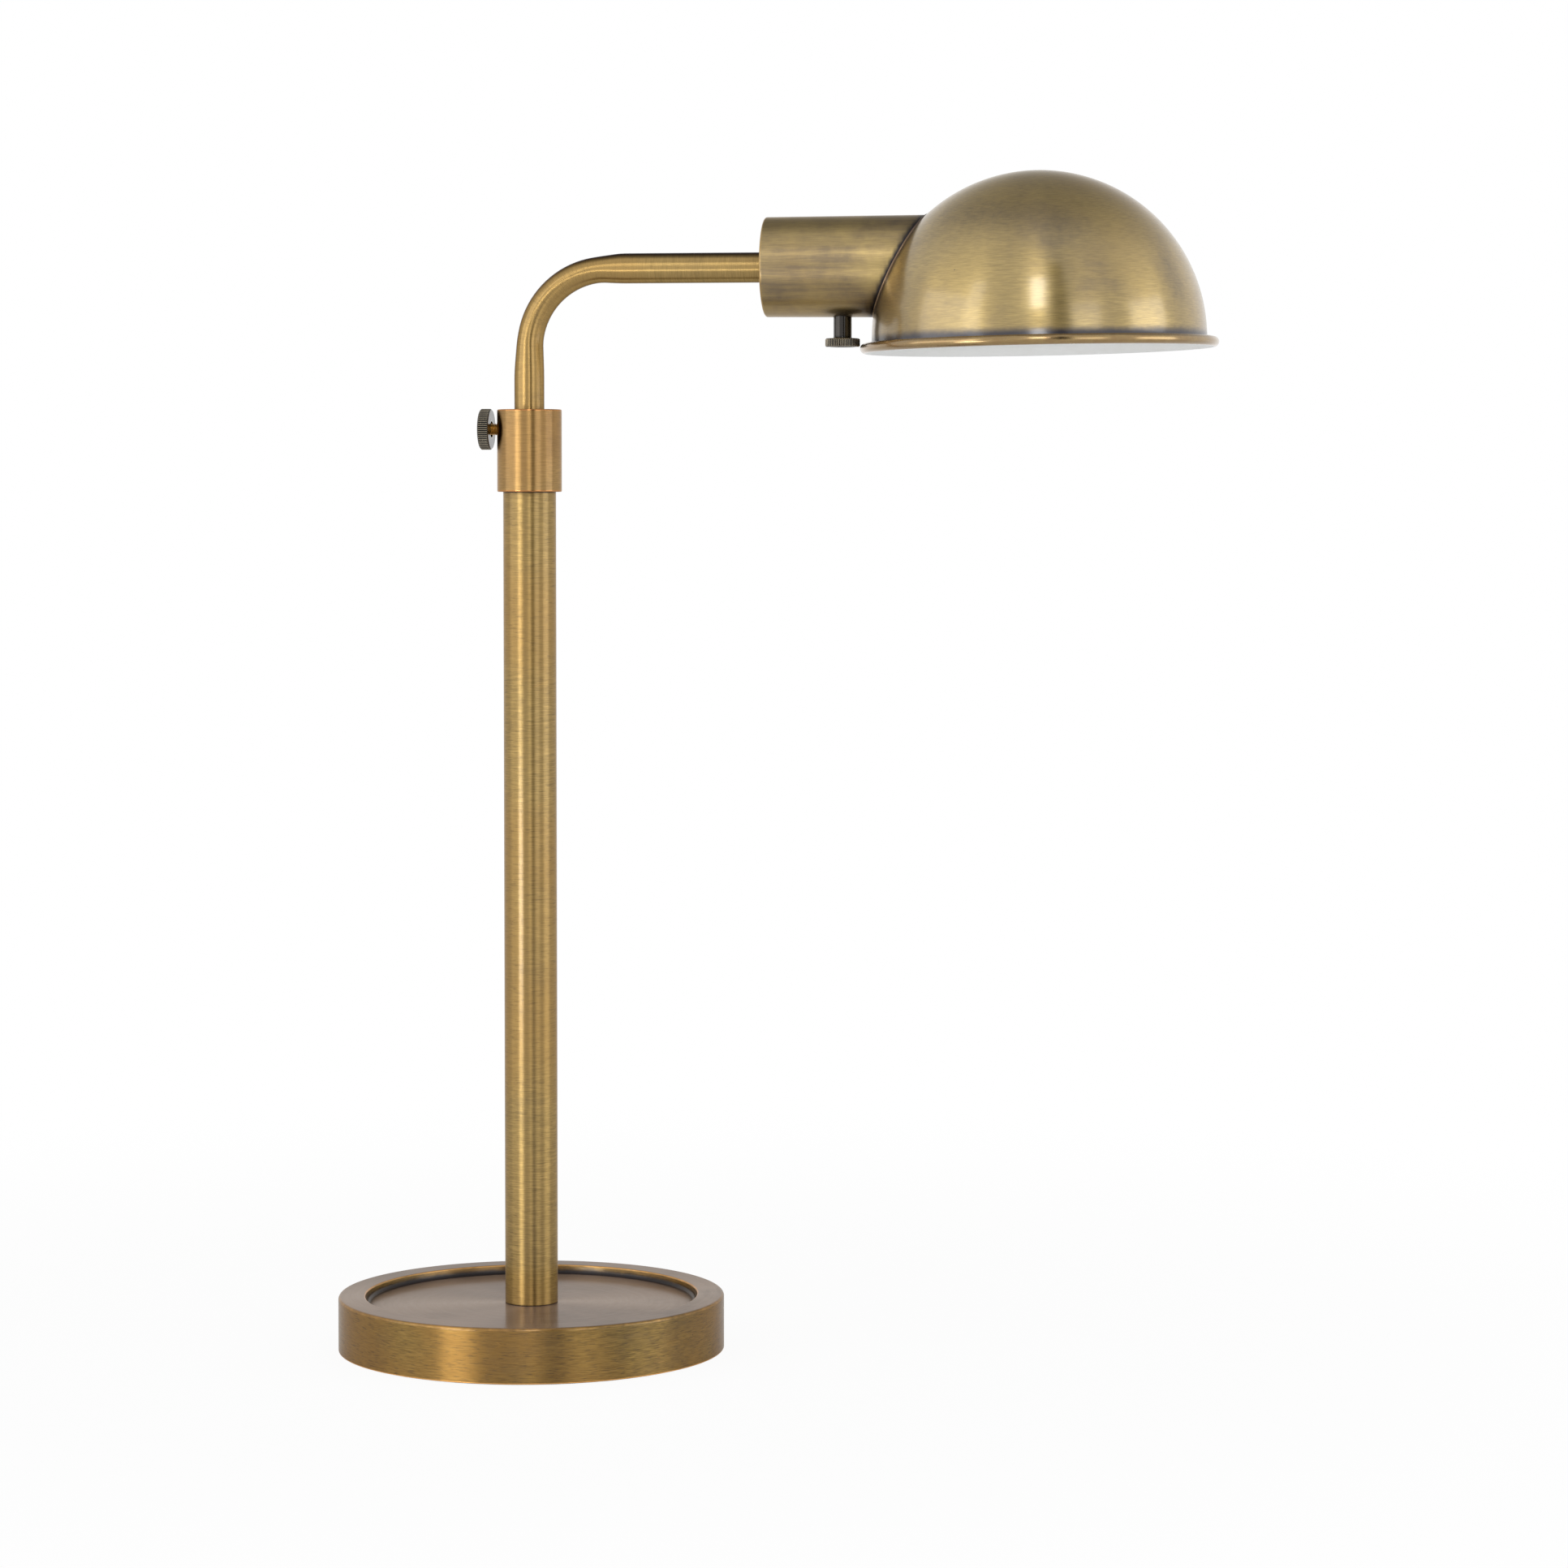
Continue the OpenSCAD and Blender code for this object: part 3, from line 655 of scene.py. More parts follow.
@dataclass(frozen=True)
class BrushMarks:
    """The short parallel scratches of a brushed surface.

    The group puts out Fine for the single scratches, Soft for wider bands, Stroke for dark dashes
    and Scratch for the few long stray lines.

    Attributes:
        marks: Noise values between which scratches and bands rise.
        band_scale: Scale of the bands against the scratches.
        dash_scale: Scale of the dashes against the scratches.
        dash: Noise values between which a dash rises.
        slant: Turn of the stray lines against the brush, in radians.
        stray_scale: Stray lines per metre.
        stray: Noise values between which a stray line rises.
    """

    marks: Pair = (0.3, 0.7)
    band_scale: Triple = (0.22, 0.22, 0.17)
    dash_scale: Triple = (1.4, 1.4, 0.85)
    dash: Pair = (0.52, 0.72)
    slant: Triple = (0.35, 0.5, 0.2)
    stray_scale: Triple = (90.0, 90.0, 3600.0)
    stray: Pair = (0.76, 0.82)

    def build(self) -> Tree:
        """Build the group.

        Returns:
            The group.
        """
        effect = Effect("brush_marks", {"Lay": ORIGIN, "Round": 170.0, "Along": 2900.0},
                        ("Fine", "Soft", "Stroke", "Scratch"))
        n, given = effect.nodes, effect.given
        ways = n.add("ShaderNodeCombineXYZ")
        n.plug(ways, X=given["Round"], Y=given["Round"], Z=given["Along"])
        spread = n.vector("MULTIPLY", given["Lay"], ways.outputs[0])
        fine = n.noise(spread, 1.0, detail=2, rough=0.55)
        bands = n.noise(n.vector("MULTIPLY", spread, self.band_scale), 1.0, detail=3, rough=0.6)
        dashes = n.noise(n.vector("MULTIPLY", spread, self.dash_scale), 1.0, detail=2)
        slant = n.add("ShaderNodeVectorRotate", rotation_type="EULER_XYZ")
        n.plug(slant, Vector=given["Lay"], Rotation=self.slant)
        slanted = n.vector("MULTIPLY", slant.outputs[0], self.stray_scale)
        strays = n.noise(slanted, 1.0, detail=1, rough=0.4)
        return effect.give(
            Fine=n.stretch(fine, *self.marks), Soft=n.stretch(bands, *self.marks),
            Stroke=n.stretch(dashes, *self.dash), Scratch=n.stretch(strays, *self.stray))


@dataclass(frozen=True)
class PatinaClouds:
    """The uneven brown-grey film that the wax and the hand left.

    The group puts out Film for the share of film, Mottle for a finer unevenness and Warm for the
    share of broad patches where the colour is warmer.

    Attributes:
        large: Share of the large clouds in the film, 0 to 1.
        fine_scale: Scale of the fine clouds against the large ones.
        clear_under: Noise value under which nothing is filmed, where Amount is 0.
        lowering: How far Amount lowers that value.
        held_back: Share of that value that counts.
        hardness: How fast the film rises over it.
        warm_scale: Scale of the warm patches against the large clouds.
        aside: Shift of the warm patches from the film.
        warm: Noise values between which a warm patch rises.
    """

    large: float = 0.75
    fine_scale: float = 6.0
    clear_under: float = 0.95
    lowering: float = 0.9
    held_back: float = 0.8
    hardness: float = 3.2
    warm_scale: float = 0.6
    aside: Triple = (3.1, 1.7, 2.3)
    warm: Pair = (0.4, 0.62)

    def build(self) -> Tree:
        """Build the group.

        Returns:
            The group.
        """
        effect = Effect("patina_clouds", {"Place": ORIGIN, "Scale": 25.0, "Amount": 0.5},
                        ("Film", "Mottle", "Warm"))
        n, given = effect.nodes, effect.given
        place, scale = given["Place"], given["Scale"]
        large = n.noise(place, scale, detail=3, rough=0.55)
        fine = n.noise(place, n.maths("MULTIPLY", scale, self.fine_scale), detail=4, rough=0.6)
        both = n.maths("ADD", n.maths("MULTIPLY", large, self.large),
                       n.maths("MULTIPLY", fine, 1 - self.large))
        lowered = n.maths("MULTIPLY", given["Amount"], self.lowering)
        edge = n.maths("SUBTRACT", self.clear_under, lowered)
        rise = n.maths("SUBTRACT", both, n.maths("MULTIPLY", edge, self.held_back))
        broad = n.noise(n.vector("ADD", place, self.aside),
                        n.maths("MULTIPLY", scale, self.warm_scale), detail=2)
        return effect.give(Film=n.maths("MULTIPLY", rise, self.hardness, clamp=True), Mottle=fine,
                           Warm=n.stretch(broad, *self.warm))


@dataclass(frozen=True)
class EdgeWearAndShade:
    """The uneven bright line along rubbed edges and the dark one in corners.

    The group puts out Bare for the share of bare metal and Dirt for old wax and painted shade.

    Attributes:
        grain: Scale of the unevenness.
        bare: Shares of rubbing between which the metal gets bare.
        dirt_and_shade: Shares of shade between which the wax and the painted shade get dense.
        dirt_break: How much of the unevenness the wax has.
    """

    grain: float = 260.0
    bare: Pair = (0.2, 0.8)
    dirt_and_shade: Pair = (0.06, 0.75)
    dirt_break: float = 0.6

    def build(self) -> Tree:
        """Build the group.

        Returns:
            The group.
        """
        effect = Effect("edge_wear_and_shade", {"Place": ORIGIN, "Rub": 0.0, "Dark": 0.0, "Break": 0.2},
                        ("Bare", "Dirt"))
        n, given = effect.nodes, effect.given
        grain = n.noise(given["Place"], self.grain, detail=4, rough=0.6)
        uneven = n.maths("SUBTRACT", grain, 0.5)
        loss = n.maths("MULTIPLY", uneven, n.maths("MULTIPLY", given["Break"], 2.0))
        kept = n.maths("ADD", given["Dark"], n.maths("MULTIPLY", loss, self.dirt_break))
        return effect.give(Bare=n.stretch(n.maths("ADD", given["Rub"], loss), *self.bare),
                           Dirt=n.stretch(kept, *self.dirt_and_shade))


@dataclass(frozen=True)
class Pits:
    """The few dark pinholes and specks in old plating. The group puts out Speck, 1 in a pinhole.

    Attributes:
        size: Distances from a pinhole's middle between which it ends, against their spacing.
        rare: Random values between which a pinhole is there.
    """

    size: Pair = (0.012, 0.03)
    rare: Pair = (0.7, 0.74)

    def build(self) -> Tree:
        """Build the group.

        Returns:
            The group.
        """
        effect = Effect("pits", {"Place": ORIGIN, "Spacing": 90.0}, ("Speck",))
        n, given = effect.nodes, effect.given
        cell = n.plug(n.add("ShaderNodeTexVoronoi", feature="F1"), Vector=given["Place"],
                      Scale=given["Spacing"]).outputs
        near = n.stretch(cell["Distance"], *self.size, to_low=1, to_high=0)
        return effect.give(Speck=n.maths("MULTIPLY", near, n.stretch(cell["Color"], *self.rare)))


@dataclass(frozen=True)
class Effects:
    """The node groups that the finishes share."""

    brush: Tree = field(default_factory=BrushMarks().build)
    clouds: Tree = field(default_factory=PatinaClouds().build)
    wear: Tree = field(default_factory=EdgeWearAndShade().build)
    pits: Tree = field(default_factory=Pits().build)


# Finishes

def new_material(name: str) -> tuple[Material, Nodes, Node]:
    """Start a material.

    Args:
        name: Name of the material.

    Returns:
        The material, its nodes and its Principled shader.
    """
    material = bpy.data.materials.new(name)
    material.use_nodes = True
    return material, Nodes(material.node_tree), material.node_tree.nodes["Principled BSDF"]


def worn(n: Nodes, effects: Effects, place: Socket, marks: Pair,
         breaks: float) -> tuple[Outputs, Outputs]:
    """Place the brush marks, and the edge wear with its painted corner shade, of a piece that stores its
    lay.

    Args:
        n: Nodes of the material.
        effects: The shared node groups.
        place: The place on the piece.
        marks: Scratches per metre round the piece and along it.
        breaks: Unevenness of the edge wear, 0 to 1.

    Returns:
        The outputs of the brush marks and those of the edge wear and painted shade.
    """
    brush = n.group(effects.brush, Lay=n.stored("lay", "Vector"), Round=marks[0], Along=marks[1])
    return brush, n.group(effects.wear, Place=place, Rub=n.stored("rub"), Dark=n.stored("dark"),
                          Break=breaks)


class Direction(Enum):
    """Which way the brush went, as scratches per metre round the piece and along it."""

    ROUND = (170.0, 2900.0)
    LENGTHWISE = (2600.0, 150.0)


@dataclass(frozen=True)
class BrushedBrass:
    """Antiqued, brushed and lacquered brass on pieces that store their lay.

    Attributes:
        name: Name of the material.
        body: Colour of the brushed metal.
        warm: Colour of its warmer patches.
        film: Colour of the brown-grey film.
        top: Colour on level faces, a painted reflection that greys them, or None where it is the body's.
        bare: Colour of a rubbed edge.
        dirt_and_shade: Colour of old wax and of painted shade where the piece stores dark, and of dashes
            and pinholes.
        edge: Tint of the reflection at a glancing angle.
        amount: Share of the surface under film.
        cloud: Clouds per metre.
        direction: Way of the brush.
        rough: Roughness of the brushed metal.
        contrast: Strength of the brush marks' colour.
        dashes: Strength of the dark dashes.
        calm: Share of the brush marks that is lost on level faces.
        lacquer: Weight of the clear lacquer.
        density: Index of refraction of the lacquer.
        pull: How far the brush marks stretch a highlight.
        polish: How much smoother a rubbed edge is.
        level: Upward parts of the normal between which a face gets level.
        breaks: Unevenness of the edge wear.
        bright: Share of the contrast on the bright side of the brush marks.
        band_body: Share of the plain body's colour in the wide bands.
        warm_share: Strength of the warmer patches.
        film_follows: Part of the film that follows the wide bands, and the part that doesn't.
        film_clear: Share of the metal's colour that shows through the film.
        scratch: Strength of the stray lines.
        film_rough: How much rougher the film is.
        band_rough: How much rougher the wide bands are.
        dirt_rough: How much rougher old wax is.
        lacquer_rough: Roughness of the lacquer.
        bump: Strength of the relief, and the height of a brush mark.
        pit: Height of a pinhole in brush marks.
    """

    name: str
    body: Triple = linear(166, 138, 84)
    warm: Triple = linear(170, 136, 78)
    film: Triple = linear(112, 96, 72)
    top: Triple | None = None
    bare: Triple = linear(222, 164, 88)
    dirt_and_shade: Triple = linear(46, 41, 42)
    edge: Triple = (0.75, 0.66, 0.56)
    amount: float = 0.4
    cloud: float = 22.0
    direction: Direction = Direction.ROUND
    rough: float = 0.37
    contrast: float = 0.22
    dashes: float = 0.28
    calm: float = 0.0
    lacquer: float = 0.35
    density: float = 1.5
    pull: float = 0.94
    polish: float = 0.12
    level: Pair = (0.8, 0.97)
    breaks: float = 0.2
    bright: float = 0.8
    band_body: float = 0.4
    warm_share: float = 0.6
    film_follows: Pair = (0.6, 0.7)
    film_clear: float = 0.35
    scratch: float = 0.35
    film_rough: float = 0.08
    band_rough: float = 0.04
    dirt_rough: float = 0.12
    lacquer_rough: float = 0.16
    bump: Pair = (0.2, 0.02 * MM)
    pit: float = -2.0

    def build(self, effects: Effects) -> Material:
        """Build the material.

        Args:
            effects: The shared node groups.

        Returns:
            The material.
        """
        material, n, metal = new_material(self.name)
        where = n.add("ShaderNodeTexCoord").outputs
        brush, wear = worn(n, effects, where["Object"], self.direction.value, self.breaks)
        clouds = n.group(effects.clouds, Place=where["Object"], Scale=self.cloud, Amount=self.amount)
        speck = n.group(effects.pits, Place=where["Object"])["Speck"]
        up = n.plug(n.add("ShaderNodeSeparateXYZ"), Vector=where["Normal"]).outputs["Z"]
        level = n.stretch(up, *self.level, 1.0, 1.0 - self.calm)
        self.colour(n, metal, brush, wear, clouds, speck, level)
        dull = n.maths("MULTIPLY_ADD", clouds["Film"], self.film_rough, self.rough)
        dull = n.maths("MULTIPLY_ADD", brush["Soft"], self.band_rough, dull)
        dull = n.maths("MULTIPLY_ADD", wear["Bare"], -self.polish, dull)
        dull = n.maths("MULTIPLY_ADD", wear["Dirt"], self.dirt_rough, dull, clamp=True)
        marks = n.maths("MULTIPLY", n.maths("ADD", brush["Fine"], brush["Scratch"]), level)
        relief = n.maths("ADD", marks, n.maths("MULTIPLY", speck, self.pit))
        tangent = n.add("ShaderNodeTangent", direction_type="UV_MAP", uv_map="brush")
        n.plug(metal, Roughness=dull, Metallic=1, Specular_Tint=self.edge, Anisotropic=self.pull,
               Coat_Weight=self.lacquer, Coat_Roughness=self.lacquer_rough, Coat_IOR=self.density,
               Tangent=tangent.outputs[0], Normal=n.bump(relief, *self.bump))
        return material

    def colour(self, n: Nodes, metal: Node, brush: Outputs, wear: Outputs, clouds: Outputs,
               speck: Socket, level: Socket) -> None:
        """Lay the colours over each other, from the metal to the pinholes.

        Args:
            n: Nodes of the material.
            metal: Its Principled shader.
            brush: Outputs of the brush marks.
            wear: Outputs of the edge wear.
            clouds: Outputs of the patina.
            speck: Share of pinhole.
            level: Share of the brush marks that a face keeps.
        """
        dim = tuple(c * (1 - self.contrast) for c in self.body)
        bright = tuple(min(1.0, c * (1 + self.contrast * self.bright)) for c in self.body)
        streaks = n.blend(brush["Fine"], dim, bright)
        toned = n.blend(n.maths("MULTIPLY", brush["Soft"], self.band_body), streaks, self.body)
        warmed = n.blend(n.maths("MULTIPLY", clouds["Warm"], self.warm_share), toned, self.warm)
        # Level faces take the top colour, a painted reflection, in place of the brushed body.
        calmed = n.blend(level, self.top or self.body, warmed)
        drawn = n.maths("MULTIPLY_ADD", brush["Soft"], *self.film_follows)
        film = n.maths("MULTIPLY", clouds["Film"], drawn, clamp=True)
        filmed = n.blend(film, calmed, n.blend(self.film_clear, self.film, calmed))
        dashes = n.maths("MULTIPLY", n.maths("MULTIPLY", brush["Stroke"], level), self.dashes)
        dashed = n.blend(dashes, filmed, self.dirt_and_shade)
        scratched = n.blend(n.maths("MULTIPLY", brush["Scratch"], self.scratch), dashed, self.bare)
        rubbed = n.blend(wear["Bare"], scratched, self.bare)
        # Darken where the piece stores dark: old wax and painted shade in corners, painted shadow and
        # shade at contacts and the seam, the arm's painted dark reflection, and tarnish.
        dirtied_and_shaded = n.blend(wear["Dirt"], rubbed, self.dirt_and_shade)
        n.plug(metal, Base_Color=n.blend(speck, dirtied_and_shaded, self.dirt_and_shade))


@dataclass(frozen=True)
class DarkBronze:
    """Blackened bronze of the knurled heads: dark, with metal showing on the crests.

    Attributes:
        marks: Scratches per metre round the head and along it.
        mark_gain: How many times brighter a brush mark is.
        crest_share: Strength of the rubbed crests.
        cloud: Patches of roughness per metre.
        rough: Least roughness.
        uneven: How much rougher it can be.
        lacquer: Weight of the wax polish.
        bump: Strength of the relief, and the height of a brush mark.
    """

    name: str = "dark_bronze"
    body: Triple = linear(40, 36, 32)
    crest: Triple = linear(176, 164, 140)
    groove: Triple = linear(16, 14, 13)
    marks: Pair = (60.0, 3500.0)
    breaks: float = 0.35
    mark_share: float = 0.4
    mark_gain: float = 1.7
    crest_share: float = 0.8
    cloud: float = 300.0
    rough: float = 0.18
    uneven: float = 0.16
    lacquer: float = 0.6
    lacquer_rough: float = 0.06
    bump: Pair = (0.2, 0.02 * MM)

    def build(self, effects: Effects) -> Material:
        """Build the material.

        Args:
            effects: The shared node groups.

        Returns:
            The material.
        """
        material, n, metal = new_material(self.name)
        place = n.place()
        brush, wear = worn(n, effects, place, self.marks, self.breaks)
        clouds = n.group(effects.clouds, Place=place, Scale=self.cloud)
        bright = tuple(c * self.mark_gain for c in self.body)
        shade = n.blend(n.maths("MULTIPLY", brush["Fine"], self.mark_share), self.body, bright)
        rubbed = n.blend(n.maths("MULTIPLY", wear["Bare"], self.crest_share), shade, self.crest)
        n.plug(metal, Base_Color=n.blend(wear["Dirt"], rubbed, self.groove), Metallic=1,
               Roughness=n.maths("MULTIPLY_ADD", clouds["Mottle"], self.uneven, self.rough),
               Coat_Weight=self.lacquer, Coat_Roughness=self.lacquer_rough,
               Normal=n.bump(brush["Fine"], *self.bump))
        return material


@dataclass(frozen=True)
class Begun:
    """A begun finish: its nodes, shader, place on the piece, colour and shared node groups."""

    n: Nodes
    shader: Node
    place: Socket
    toned: Socket
    effects: Effects


@dataclass(frozen=True)
class Clouded:
    """A finish whose colour and roughness vary in soft clouds.

    Attributes:
        name: Name of the material.
        body: Its colour.
        film: Its second colour, in the clouds.
        rough: Least roughness.
        uneven: How much rougher it can be.
        cloud: Clouds per metre.
        amount: Share of the surface in the clouds.
        film_share: Strength of the second colour.
        bump: Strength of the relief, and its height.
    """

    name: str
    body: Triple
    film: Triple
    rough: float = 0.4
    uneven: float = 0.2
    cloud: float = 150.0
    amount: float = 0.5
    film_share: float = 1.0
    bump: Pair = (0.3, 0.03 * MM)

    def build(self, effects: Effects) -> Material:
        """Build the material.

        Args:
            effects: The shared node groups.

        Returns:
            The material.
        """
        material, n, shader = new_material(self.name)
        place = n.place()
        clouds = n.group(effects.clouds, Place=place, Scale=self.cloud, Amount=self.amount)
        share = clouds["Film"]
        if self.film_share != 1.0:
            share = n.maths("MULTIPLY", share, self.film_share)
        toned = n.blend(share, self.body, self.film)
        n.plug(shader, Base_Color=toned,
               Roughness=n.maths("MULTIPLY_ADD", clouds["Mottle"], self.uneven, self.rough))
        self.add_own(Begun(n, shader, place, toned, effects))
        return material

    def add_own(self, begun: Begun) -> None:
        """Add what only this kind of finish has."""
        raise NotImplementedError


@dataclass(frozen=True)
class Enamel(Clouded):
    """White stoved enamel inside the shade, with a faint orange peel.

    Attributes:
        peel: Bumps of the orange peel per metre.
    """

    name: str = "white_enamel"
    body: Triple = linear(232, 233, 232)
    film: Triple = linear(214, 213, 206)
    rough: float = 0.3
    uneven: float = 0.15
    cloud: float = 30.0
    amount: float = 0.4
    film_share: float = 0.5
    bump: Pair = (0.15, 0.1 * MM)
    peel: float = 900.0

    def add_own(self, begun: Begun) -> None:
        """Add the orange peel."""
        peel = begun.n.noise(begun.place, self.peel, detail=2)
        begun.n.plug(begun.shader, Normal=begun.n.bump(peel, *self.bump))


@dataclass(frozen=True)
class PlainMetal(Clouded):
    """A machined or plated metal of an inner piece, with fine turning marks.

    Attributes:
        metallic: Share of metal, under 1 for a rough casting.
        marks: Turning marks per metre in X and Y, and in Z.
        mark_share: Strength of the turning marks' colour.
    """

    rough: float = 0.25
    cloud: float = 120.0
    bump: Pair = (0.15, 0.03 * MM)
    metallic: float = 1.0
    marks: Pair = (900.0, 3000.0)
    mark_share: float = 0.3

    def add_own(self, begun: Begun) -> None:
        """Add the turning marks over the clouds.

        Args:
            begun: The begun finish.
        """
        n = begun.n
        marks = n.group(begun.effects.brush, Lay=begun.place, Round=self.marks[0],
                        Along=self.marks[1])["Fine"]
        marked = n.blend(n.maths("MULTIPLY", marks, self.mark_share), begun.toned, self.film)
        n.plug(begun.shader, Base_Color=marked, Metallic=self.metallic,
               Normal=n.bump(marks, *self.bump))


@dataclass(frozen=True)
class Moulded(Clouded):
    """A moulded or pressed stuff: rubber, fibre, nylon, phenolic or black glass.

    Attributes:
        grain: Grains per metre.
    """

    grain: float = 1500.0

    def add_own(self, begun: Begun) -> None:
        """Add the grain."""
        grain = begun.n.noise(begun.place, self.grain, detail=4)
        begun.n.plug(begun.shader, Normal=begun.n.bump(grain, *self.bump))


@dataclass(frozen=True)
class FrostedGlass(Clouded):
    """White inner-coated glass of the bulb.

    Attributes:
        gloss: Weight of the smooth outside.
        gloss_rough: Roughness of the smooth outside.
    """

    name: str = "frosted_glass"
    body: Triple = linear(240, 240, 236)
    film: Triple = linear(226, 228, 228)
    rough: float = 0.22
    uneven: float = 0.1
    cloud: float = 40.0
    gloss: float = 0.5
    gloss_rough: float = 0.08

    def add_own(self, begun: Begun) -> None:
        """Add the smooth outside of the glass."""
        begun.n.plug(begun.shader, Coat_Weight=self.gloss, Coat_Roughness=self.gloss_rough)


@dataclass(frozen=True)
class Felt:
    """Pressed green felt under the base.

    Attributes:
        cloud: Trodden patches per metre.
        patch_share: Strength of the trodden patches.
        fibre_stretch: Scale of the fibres in X, Y and Z.
        tips: Noise values between which a fibre's tip rises.
        bump: Strength of the relief, and the height of a fibre.
    """

    name: str = "green_felt"
    body: Triple = linear(44, 58, 44)
    tip: Triple = linear(80, 94, 74)
    cloud: float = 60.0
    patch_share: float = 0.4
    fibre_stretch: Triple = (1.0, 2.3, 1.6)
    fibres: float = 1800.0
    tips: Pair = (0.4, 0.7)
    rough: float = 0.95
    sheen: float = 0.4
    bump: Pair = (0.6, 0.25 * MM)

    def build(self, effects: Effects) -> Material:
        """Build the material.

        Args:
            effects: The shared node groups.

        Returns:
            The material.
        """
        material, n, cloth = new_material(self.name)
        place = n.place()
        clouds = n.group(effects.clouds, Place=place, Scale=self.cloud)
        fibres = n.noise(n.vector("MULTIPLY", place, self.fibre_stretch), self.fibres, detail=5,
                         rough=0.7)
        tipped = n.blend(n.stretch(fibres, *self.tips), self.body, self.tip)
        trodden = n.maths("MULTIPLY", clouds["Film"], self.patch_share)
        n.plug(cloth, Base_Color=n.blend(trodden, tipped, self.body), Roughness=self.rough,
               Sheen_Weight=self.sheen, Normal=n.bump(fibres, *self.bump))
        return material


# Sub-assemblies

def dress(piece: Piece, body: Body, *materials: Material, slot: Slot | None = None,
          instead_of: str | None = None) -> None:
    """Give a new piece its materials and its body, and hide the solid that it stands for.

    Args:
        piece: The piece.
        body: The body that carries it.
        materials: Its materials in the order of its material indices.
        slot: Not used.
        instead_of: The solid that it stands for.
    """
    for material in materials:
        piece.data.materials.append(material)
    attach(piece, body.value)
    if instead_of:
        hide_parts(instead_of)
    LOG.info("%s: %d faces on %s", piece.name, len(piece.data.polygons), body.value)


def finish_solids(material: Material, *names: str) -> None:
    """Give carried-over solids a finish.

    Args:
        material: The finish.
        names: The solids.
    """
    for name in names:
        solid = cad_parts[name]
        if not solid.material_slots:
            solid.data.materials.append(material)
        for holder in solid.material_slots:
            holder.material = material
        LOG.info("%s: solid finished in %s", name, material.name)


@dataclass(frozen=True)
class Knurl:
    """A straight knurl round a head.

    Attributes:
        run_out: Share of the chamfer that the teeth cross.
        slope: How steep the flanks are, which leaves the crests and the grooves flat.
        rubbed_to: Share of the depth down to which a crest is rubbed.
        marked_to: Share of the depth down to which the marks go, a little past the grooves.
    """

    pitch: float = 0.9 * MM
    depth: float = 0.34 * MM
    chamfer: float = 0.5 * MM
    flank_steps: int = 8
    run_out: float = 0.6
    slope: float = 1.5
    rubbed_to: float = 1 / 3
    rub: float = 0.9
    marked_to: float = 1.02
    lay: Lay = Lay(wear=0.35 * MM, shade=0.9 * MM)
    sharp_over: float = 32

    def teeth(self, radius: float) -> int:
        """Count the teeth that fit round a head."""
        return round(2 * math.pi * radius / self.pitch)

    def shape(self, radius: float) -> Shape:
        """Make the function that cuts the teeth into a head of this radius.

        Args:
            radius: Radius over the crests.

        Returns:
            The radius at any place of the head.
        """
        teeth = self.teeth(radius)

        def cut(r: float, z: float, angle: float) -> float:
            """Lower the grooves, and leave the faces and the shank as they are.

            Args:
                r: Radius of the place.
                z: Its height.
                angle: Its angle.

            Returns:
                The radius that it gets.
            """
            if r < radius - self.depth - self.chamfer * self.run_out:
                return r
            wave = abs((angle * teeth / (2 * math.pi)) % 1 - 0.5) * 2
            return min(r, radius - self.depth * held(wave * self.slope - (self.slope - 1) / 2))
        return cut

    def mark(self, head: Piece, placing: Matrix, radius: float) -> None:
        """Store the crests of the teeth as rubbed and the grooves as dark.

        Args:
            head: The knurled head.
            placing: Where its axis lies.
            radius: Radius over the crests.
        """
        back = placing.inverted()
        rub, dark = head.data.attributes["rub"].data, head.data.attributes["dark"].data
        for vertex in head.data.vertices:
            local = back @ vertex.co
            depth = radius - math.hypot(local.x, local.y)
            if depth < self.depth * self.marked_to:
                share = depth / self.depth
                crest = self.rub * max(0.0, 1 - share / self.rubbed_to)
                rub[vertex.index].value = max(rub[vertex.index].value, crest)
                dark[vertex.index].value = max(dark[vertex.index].value, share)

    def head(self, name: str, points: Sequence[Pair], placing: Matrix, radius: float) -> Piece:
        """Turn a head, cut its teeth and store its marks.

        Args:
            name: Name of the piece.
            points: The head's outline.
            placing: Where its axis lies.
            radius: Radius over the crests.

        Returns:
            The head.
        """
        head = turned(name, points, placing, self.teeth(radius) * self.flank_steps, self.shape(radius))
        self.lay.store(head, points, placing)
        self.mark(head, placing, radius)
        return smooth(head, self.sharp_over)


